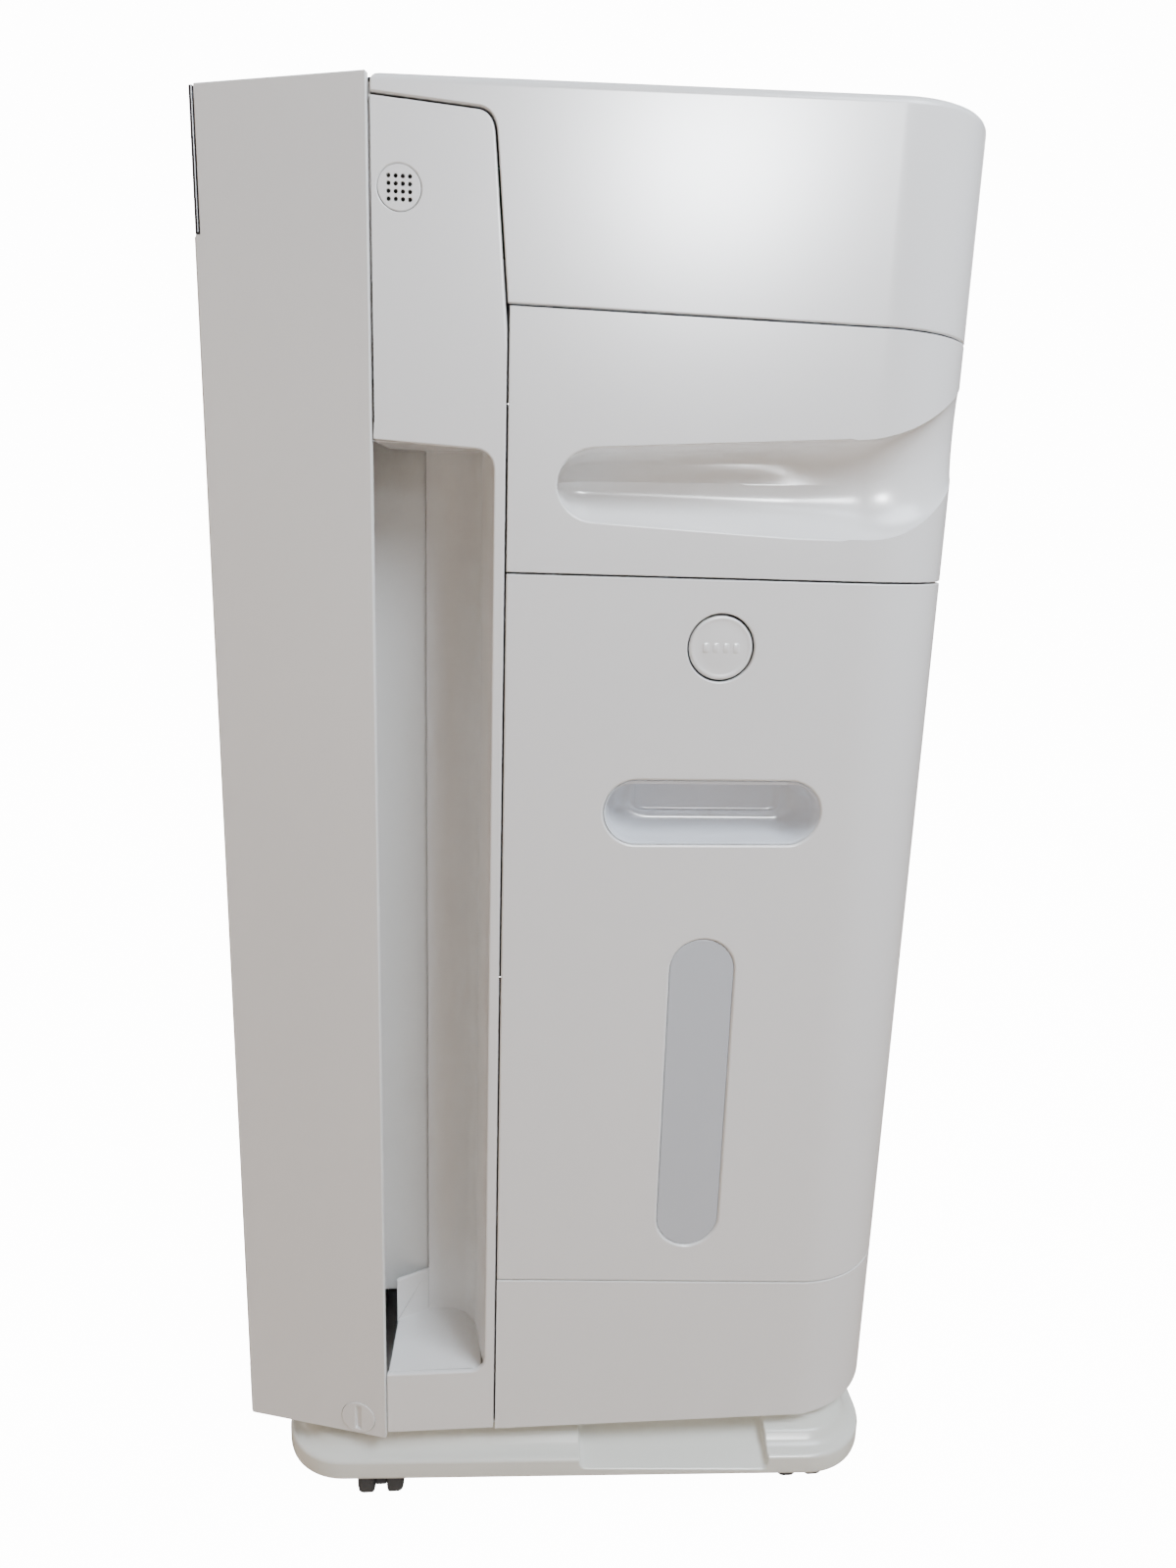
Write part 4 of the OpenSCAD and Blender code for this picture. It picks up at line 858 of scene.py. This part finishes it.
class DEHUM_OT_tank(PieceOperator, bpy.types.Operator):
    """Water tank: door, grip cup, water window, push button, vessel, lid, latch and float"""
    bl_idname = "dehum.tank"
    bl_label = "Water tank"

    def execute(self, context):
        tank = context.scene.dehumidifier_tank

        def lips(edge):
            p = middle(edge)
            grip = abs(p.z - GRIP_Z) < 17.0 and abs(p.y - TANK_MID_Y) < 54.0
            window = abs(p.z - WINDOW_Z) < 86.0 and abs(p.y - TANK_MID_Y) < 17.0
            return p.x > 191.5 and (grip or window)

        def button_ring(edge):
            p = middle(edge)
            return p.x > 191.5 and math.hypot(p.y - TANK_MID_Y, p.z - BUTTON_Z) < 17.0

        def front_corner(edge):
            a, b = edge.verts
            p = middle(edge)
            through = abs(a.co.x - b.co.x) > 0.9 * (a.co - b.co).length
            return through and p.x > 188.0 and p.y < TANK_Y + 1.0

        def corner_below(edge):
            p = middle(edge)
            return front_corner(edge) and p.z < low_seam_z(p.y) + 1.5

        def corner_above(edge):
            return front_corner(edge) and middle(edge).z > MID_SEAM - 1.5

        moulding("tank_door", "tank_door_shell", "gloss_white", "tank",
                 rules=[(corner_below, 4.0 * MM, 5), (corner_above, 1.4 * MM, 3),
                        (lips, tank.lip_radius, 4), (button_ring, 0.7 * MM, 3)])
        bm = loft(cup_rings(TANK_MID_Y + 0.7, GRIP_Z, 102.9, 30.4), False, True)
        mesh = to_mesh(bm, "tank_grip_cup", 60.0)
        cup = put("tank_grip_cup", mesh, "tank", "pale_grey", "tank_grip")
        wall = cup.modifiers.new("wall", "SOLIDIFY")
        wall.thickness, wall.offset = 1.6 * MM, -1.0
        moulding("water_window", "water_window_pane", "window", "tank", 0.5 * MM)
        self.push_button()
        moulding("tank_vessel", "tank_vessel_wall", "clear_tank", "tank", 0.5 * MM)
        moulding("tank_lid", "tank_lid_cover", "pale_grey", "tank", 0.5 * MM)
        moulding("tank_latch", "tank_latch_bar", "inner_white", "latch", 0.5 * MM)
        moulding("tank_float", "tank_float_block", "inner_white", "float", 1.2 * MM)
        return {"FINISHED"}

    def push_button(self):
        """A domed disc with a rolled rim and a row of raised bars as its mark."""
        def circle(r, x, steps):
            return [(x, TANK_MID_Y + y, BUTTON_Z + z)
                    for y, z in arc(0, 0, r, 0, 360 - 360 / steps, steps - 1)]

        outer = 14.5
        rim = [(outer - 0.4, -4.0), (outer, -3.6), (outer, -1.3), (outer - 0.15, -0.75), (outer - 0.6, -0.4)]
        face = [(outer - 1.2, -0.32), (outer - 2.0, -0.5), (outer - 2.7, -0.62), (9.0, -0.42), (4.5, -0.28)]
        bm = loft([circle(r, HALF_W + x, 48) for r, x in rim + face])
        bm = joined(bm, loft([circle(4.5, HALF_W - x, 24) for x in (14.0, 3.9)]))
        for k in range(4):
            y = TANK_MID_Y + (k - 1.5) * 4.6
            foot = rounded(y, BUTTON_Z, 3.0, 4.6, 1.0, 4)
            crest = rounded(y, BUTTON_Z, 2.3, 3.9, 0.8, 4)
            bar = ((foot, 0.9), (foot, 0.24), (crest, 0.08))
            bm = joined(bm, loft([[(HALF_W - depth, a, b) for a, b in outline] for outline, depth in bar]))
        mesh = to_mesh(bm, "tank_push_button", 40.0)
        put("tank_push_button", mesh, "push_button", "gloss_white", "tank_button")


def curve_height(points, y):
    """Height of a line through (y, z) points at y."""
    for (y0, z0), (y1, z1) in zip(points, points[1:]):
        if y <= y1:
            t = (y - y0) / (y1 - y0)
            return z0 + (z1 - z0) * t
    return points[-1][1]


def bend(a, b, c, steps=10):
    """Points on a quadratic curve."""
    return [tuple((1 - t) ** 2 * a[i] + 2 * t * (1 - t) * b[i] + t * t * c[i] for i in (0, 1))
            for t in (k / steps for k in range(steps + 1))]


SCOOP_TOP = [(-2.0, 553.8)] + bend((114.9, 561.4), (148.0, 563.5), (180.5, 598.0), 14)
SCOOP_FOOT = [(-2.0, 523.2), (88.0, 519.0)] + bend((120.0, 518.9), (150.0, 517.5), (178.5, 556.0), 14)
SCOOP_CLEAR = 8.0
SCOOP_DEPTH = [(60.0, 23.0), (90.0, 20.5), (121.5, 16.0), (143.0, 10.5), (164.0, 5.2), (187.5, 1.0),
               (200.0, 0.3)]
SCOOP_PROFILE = [(-0.5, 1.0), (0.0, 1.0), (0.42, 0.985), (0.78, 0.965), (0.93, 0.93), (1.0, 0.86),
                 (1.0, 0.78), (0.93, 0.66), (0.855, 0.575), (0.862, 0.55), (0.90, 0.47), (0.90, 0.39),
                 (0.84, 0.31), (0.72, 0.235), (0.55, 0.165), (0.36, 0.10), (0.18, 0.045), (0.06, 0.01),
                 (0.0, 0.0), (-0.5, 0.0)]


def scoop_section(run, shrink, grow):
    """One cross-section of the drawer's grip at a distance along the outer wall.
    shrink closes it at the rounded left end; grow thickens it."""
    turn = max(0.0, run - REAR_CENTRE[1]) / REAR_R
    normal = (math.cos(turn), math.sin(turn))
    wall = (HALF_W, run)
    if turn > 0:
        wall = (REAR_CENTRE[0] + REAR_R * normal[0], REAR_CENTRE[1] + REAR_R * normal[1])
    y = wall[1]
    high, foot = curve_height(SCOOP_TOP, y), curve_height(SCOOP_FOOT, y)
    mid = (high + foot) / 2
    high, foot = mid + (high - mid) * shrink + grow, mid + (foot - mid) * shrink - grow
    depth = curve_height(SCOOP_DEPTH, run) * shrink ** 0.35 + grow
    soft = blend_value(run, 70.0, 140.0)
    points = []
    for deep, tall in SCOOP_PROFILE:
        inward = deep * depth if deep >= 0 else -SCOOP_CLEAR
        if 0.0 < tall < 1.0:
            hollow = 0.95 * math.sin(math.pi * tall) ** 0.55
            inward = (deep + (hollow - deep) * soft) * depth
        points.append((wall[0] - inward * normal[0], wall[1] - inward * normal[1],
                       foot + (high - foot) * tall))
    return points


def scoop_solid(grow):
    """The closed solid that the drawer's grip takes out of the drawer front."""
    sections = []
    left, r = -2.0, 15.3 + grow
    for a in (6, 14, 24, 35, 47, 60, 75):
        angle = math.radians(a)
        sections.append(scoop_section(left - r * math.cos(angle), math.sin(angle), grow))
    for run in [left + 4.0 * k for k in range(32)] + [121.5 + 3.2 * k for k in range(1, 25)]:
        sections.append(scoop_section(run, 1.0, grow))
    return loft(sections)


def wall_plan(inset, low_y):
    """Plan of the drawer's outer wall, from its front end to its rear end, drawn in by inset."""
    return [(HALF_W - inset, low_y)] + arc(REAR_CENTRE[0], REAR_CENTRE[1], REAR_R - inset, 0, 89.5, 36)


def upright(plan, low, high):
    """A solid over a plan outline, between two heights given as functions of y."""
    return loft([[(x, y, low(y)) for x, y in plan], [(x, y, high(y)) for x, y in plan]])


class DEHUM_OT_drawer(PieceOperator, bpy.types.Operator):
    """Humidifying drawer: front with its flowing grip, and the tray with its wick behind it"""
    bl_idname = "dehum.drawer"
    bl_label = "Drawer"

    def execute(self, context):
        low_y = TANK_Y + SEAM / 2

        def low(_):
            return MID_SEAM + SEAM / 2

        def high(y):
            return high_seam_z(y) - SEAM / 2

        outer, inner, flange = wall_plan(0.0, low_y), wall_plan(3.0, low_y), wall_plan(12.0, low_y + 0.1)
        shell = upright(outer + inner[::-1], low, high)
        ledge = wall_plan(1.0, low_y + 0.1) + flange[::-1]
        floor = upright(ledge, lambda y: low(y) + 0.05, lambda y: low(y) + 2.4)
        roof = upright(ledge, lambda y: high(y) - 2.4, lambda y: high(y) - 0.05)
        filling = upright(wall_plan(0.8, low_y + 1) + wall_plan(32.0, low_y + 1)[::-1],
                          lambda y: low(y) + 2, lambda y: high(y) - 2)
        scoop = combined(scoop_solid(2.2), [filling], "INTERSECT")
        whole = combined(shell, [floor, roof, scoop], "UNION")
        whole = combined(whole, [scoop_solid(0.0)])
        bmesh.ops.remove_doubles(whole, verts=whole.verts, dist=0.00001)
        bmesh.ops.dissolve_degenerate(whole, edges=whole.edges, dist=0.00001)

        def on_wall(point, reach=0.3):
            if point.y > REAR_CENTRE[1]:
                return math.hypot(point.x - REAR_CENTRE[0], point.y - REAR_CENTRE[1]) > REAR_R - reach
            return point.x > HALF_W - reach

        def seam_edge(edge):
            p = middle(edge)
            return on_wall(p) and (p.z < low(p.y) + 0.2 or p.z > high(p.y) - 0.2 or p.y < low_y + 0.2)

        def grip_lip(edge):
            p = middle(edge)
            return on_wall(p) and low(p.y) + 8 < p.z < high(p.y) - 8 and -25.0 < p.y < 112.0

        round_edges(whole, seam_edge, context.scene.dehumidifier_casing.seam_radius, 2)
        round_edges(whole, grip_lip, 0.8 * MM, 3)
        bmesh.ops.triangulate(whole, faces=[f for f in whole.faces if len(f.verts) > 8])
        mesh = to_mesh(whole, "drawer_front_shell", 36.0)
        soften(put("drawer_front_shell", mesh, "drawer", "gloss_white", "drawer_front"), 0.0)
        moulding("drawer_unit", "drawer_water_tray", "inner_white", "drawer", 0.4 * MM,
                 keep=lambda lowest, highest: highest[0] < 160.0)
        return {"FINISHED"}


class DEHUM_OT_top(PieceOperator, bpy.types.Operator):
    """Outlet grille, air flap, control panel and its four keys"""
    bl_idname = "dehum.top"
    bl_label = "Top controls"

    def execute(self, context):
        moulding("outlet_grille", "outlet_louvres", "inner_white", "body", 0.3 * MM)
        moulding("air_flap", "air_flap_panel", "gloss_white", "flap", 0.7 * MM)
        moulding("control_panel", "control_panel_face", "display_black", "body", 0.4 * MM)
        for key in ("power", "mode", "fan", "timer"):
            moulding("button_" + key, "key_" + key + "_cap", "inner_white", "key_" + key, 0.5 * MM)
        painted("control_board", "board")
        return {"FINISHED"}


WORKS = {
    "filter_frame": "black_plastic", "filter_guides": "inner_white", "mesh_prefilter": "mesh",
    "pleated_filter": "filter_paper", "carbon_filter": "carbon", "rotor_frame": "pale_grey",
    "rotor_wheel": "inner_white", "desiccant_media": "desiccant", "drive_pinion": "inner_white",
    "gear_motor": "steel", "heater_box": "heater", "condenser": "pale_grey", "drain_pan": "pale_grey",
    "blower_housing": "pale_grey", "blower_wheel": "black_plastic", "fan_scroll": "pale_grey",
    "fan_wheel": "inner_white", "fan_motor": "steel", "outlet_duct": "pale_grey", "power_board": "board",
    "tank_bay": "inner_white",
}


class DEHUM_OT_works(PieceOperator, bpy.types.Operator):
    """Filters, desiccant rotor, heater, condenser, blower, main fan, duct, board and tank bay"""
    bl_idname = "dehum.works"
    bl_label = "Works"

    def execute(self, context):
        for node, slot in WORKS.items():
            painted(node, slot)
        return {"FINISHED"}


def area_light(name, place, target, size, power, colour):
    """A rectangular area light that faces a target; place, target and size are in metres."""
    lamp = bpy.data.lights.new(name, "AREA")
    lamp.shape = "RECTANGLE"
    lamp.size, lamp.size_y = size
    lamp.energy = power
    lamp.color = colour
    holder = bpy.data.objects.new(name, lamp)
    bpy.context.scene.collection.objects.link(holder)
    holder.location = place
    holder.rotation_mode = "QUATERNION"
    holder.rotation_quaternion = (Vector(target) - Vector(place)).to_track_quat("-Z", "Y")
    return holder


class DEHUM_OT_stage(bpy.types.Operator):
    """Camera, pale floor that sweeps up all round, and soft studio lights"""
    bl_idname = "dehum.stage"
    bl_label = "Stage"

    def execute(self, context):
        self.camera(context)
        self.floor(context)
        studio = context.scene.dehumidifier_studio
        world = bpy.data.worlds.new("studio_air")
        world.use_nodes = True
        air = world.node_tree.nodes["Background"]
        air.inputs["Color"].default_value = (1.0, 0.86, 0.74, 1.0)
        air.inputs["Strength"].default_value = 0.27
        context.scene.world = world
        window = area_light("window_light", (3.15, 0.62, 1.62), (0.19, 0.05, 0.66), (0.42, 0.34),
                            studio.window_power, (0.93, 0.96, 1.0))
        window.visible_diffuse = False
        area_light("room_light", (0.85, 0.6, 1.4), (0.16, 0.05, 0.56), (0.6, 0.6), studio.room_power,
                   (0.82, 0.90, 1.0))
        area_light("warm_fill", (1.5, -1.5, 0.5), (0.1, 0.0, 0.3), (1.6, 1.0), 0.16 * studio.room_power,
                   (1.0, 0.80, 0.60))
        area_light("front_light", (-0.9, -2.3, 1.5), (0.0, 0.0, 0.4), (1.8, 1.6), 1.3 * studio.room_power,
                   (0.97, 0.98, 1.0))
        area_light("back_light", (-2.2, 0.9, 2.0), (0.0, 0.0, 0.4), (2.0, 2.0), 1.2 * studio.room_power,
                   (0.97, 0.98, 1.0))
        return {"FINISHED"}

    def camera(self, context):
        """The camera stands at the tank side, a little above the middle, and leans with a slight roll."""
        lens = bpy.data.cameras.new("studio_camera")
        lens.lens = context.scene.dehumidifier_studio.lens
        lens.sensor_width = 36.0
        lens.clip_start, lens.clip_end = 0.01, 60.0
        camera = bpy.data.objects.new("studio_camera", lens)
        context.scene.collection.objects.link(camera)
        forward = Vector((-0.96805, 0.09478, -0.23215)).normalized()
        level = forward.cross(Vector((0, 0, 1))).normalized()
        above = level.cross(forward)
        roll = math.radians(1.833)
        right = level * math.cos(roll) + above * math.sin(roll)
        up = above * math.cos(roll) - level * math.sin(roll)
        turn = Matrix((right, up, -forward)).transposed()
        camera.matrix_world = Matrix.Translation((0.6722, -0.0468, 0.5210)) @ turn.to_4x4()
        context.scene.camera = camera

    def glow_to_camera(self, ground):
        """The camera sees the floor as a white backdrop, while the object is lit by its true colour."""
        tree = ground.node_tree
        shader = tree.nodes["Principled BSDF"]
        seen = tree.nodes.new("ShaderNodeLightPath").outputs["Is Camera Ray"]
        shader.inputs["Emission Color"].default_value = (1.0, 1.0, 1.0, 1.0)
        tree.links.new(maths(tree, "MULTIPLY", seen, 14.0), shader.inputs["Emission Strength"])

    def floor(self, context):
        """A round floor whose edge sweeps up into a wall."""
        steps = 72
        profile = [(0.0, 0.0), (0.8, 0.0), (1.6, 0.0), (2.6, 0.0)]
        profile += [(2.6 + 1.4 * math.sin(math.radians(a)), 1.4 - 1.4 * math.cos(math.radians(a)))
                    for a in range(9, 91, 9)]
        profile.append((4.0, 3.2))
        bm = bmesh.new()
        turns = [2 * math.pi * k / steps for k in range(steps)]
        rows = [[bm.verts.new((r * math.cos(a), r * math.sin(a), z)) for a in turns] for r, z in profile[1:]]
        centre = bm.verts.new((0, 0, 0))
        for k in range(steps):
            j = (k + 1) % steps
            bm.faces.new((centre, rows[0][k], rows[0][j]))
            for lower, upper in zip(rows, rows[1:]):
                bm.faces.new((lower[k], upper[k], upper[j], lower[j]))
        mesh = bpy.data.meshes.new("studio_floor")
        for face in bm.faces:
            face.smooth = True
        bm.to_mesh(mesh)
        bm.free()
        floor = bpy.data.objects.new("studio_floor", mesh)
        context.scene.collection.objects.link(floor)
        ground = shade("studio_floor", context.scene.dehumidifier_studio.floor_colour, 0.75, deep=0.985,
                       drift=1.2, specks=0.0, ripple=0.2, bump=0.0001, dust=0.0)
        self.glow_to_camera(ground)
        mesh.materials.append(ground)


OPERATORS = (DEHUM_OT_stage, DEHUM_OT_casing, DEHUM_OT_front, DEHUM_OT_tray, DEHUM_OT_casters,
             DEHUM_OT_tank, DEHUM_OT_drawer, DEHUM_OT_top, DEHUM_OT_works)


class DEHUM_PT_panel(bpy.types.Panel):
    """Lists the settings and the steps that build the dehumidifier"""
    bl_idname = "DEHUM_PT_panel"
    bl_label = "Dehumidifier"
    bl_space_type = "VIEW_3D"
    bl_region_type = "UI"
    bl_category = "Dehumidifier"

    def draw(self, context):
        for name in SETTINGS:
            group = getattr(context.scene, name)
            box = self.layout.box()
            for label in group.bl_rna.properties.keys():
                if label not in ("rna_type", "name"):
                    box.prop(group, label)
        for operator in OPERATORS:
            self.layout.operator(operator.bl_idname)


SETTINGS = {
    "dehumidifier_casing": CasingSettings,
    "dehumidifier_tank": TankSettings,
    "dehumidifier_tray": TraySettings,
    "dehumidifier_studio": StudioSettings,
}


def register():
    for group in SETTINGS.values():
        bpy.utils.register_class(group)
    for name, group in SETTINGS.items():
        setattr(bpy.types.Scene, name, bpy.props.PointerProperty(type=group))
    for cls in (*OPERATORS, DEHUM_PT_panel):
        bpy.utils.register_class(cls)


def unregister():
    for cls in (DEHUM_PT_panel, *reversed(OPERATORS)):
        bpy.utils.unregister_class(cls)
    for name, group in reversed(SETTINGS.items()):
        delattr(bpy.types.Scene, name)
        bpy.utils.unregister_class(group)


def main():
    register()
    for operator in OPERATORS:
        area, action = operator.bl_idname.split(".")
        getattr(getattr(bpy.ops, area), action)()


if __name__ == "__main__":
    main()
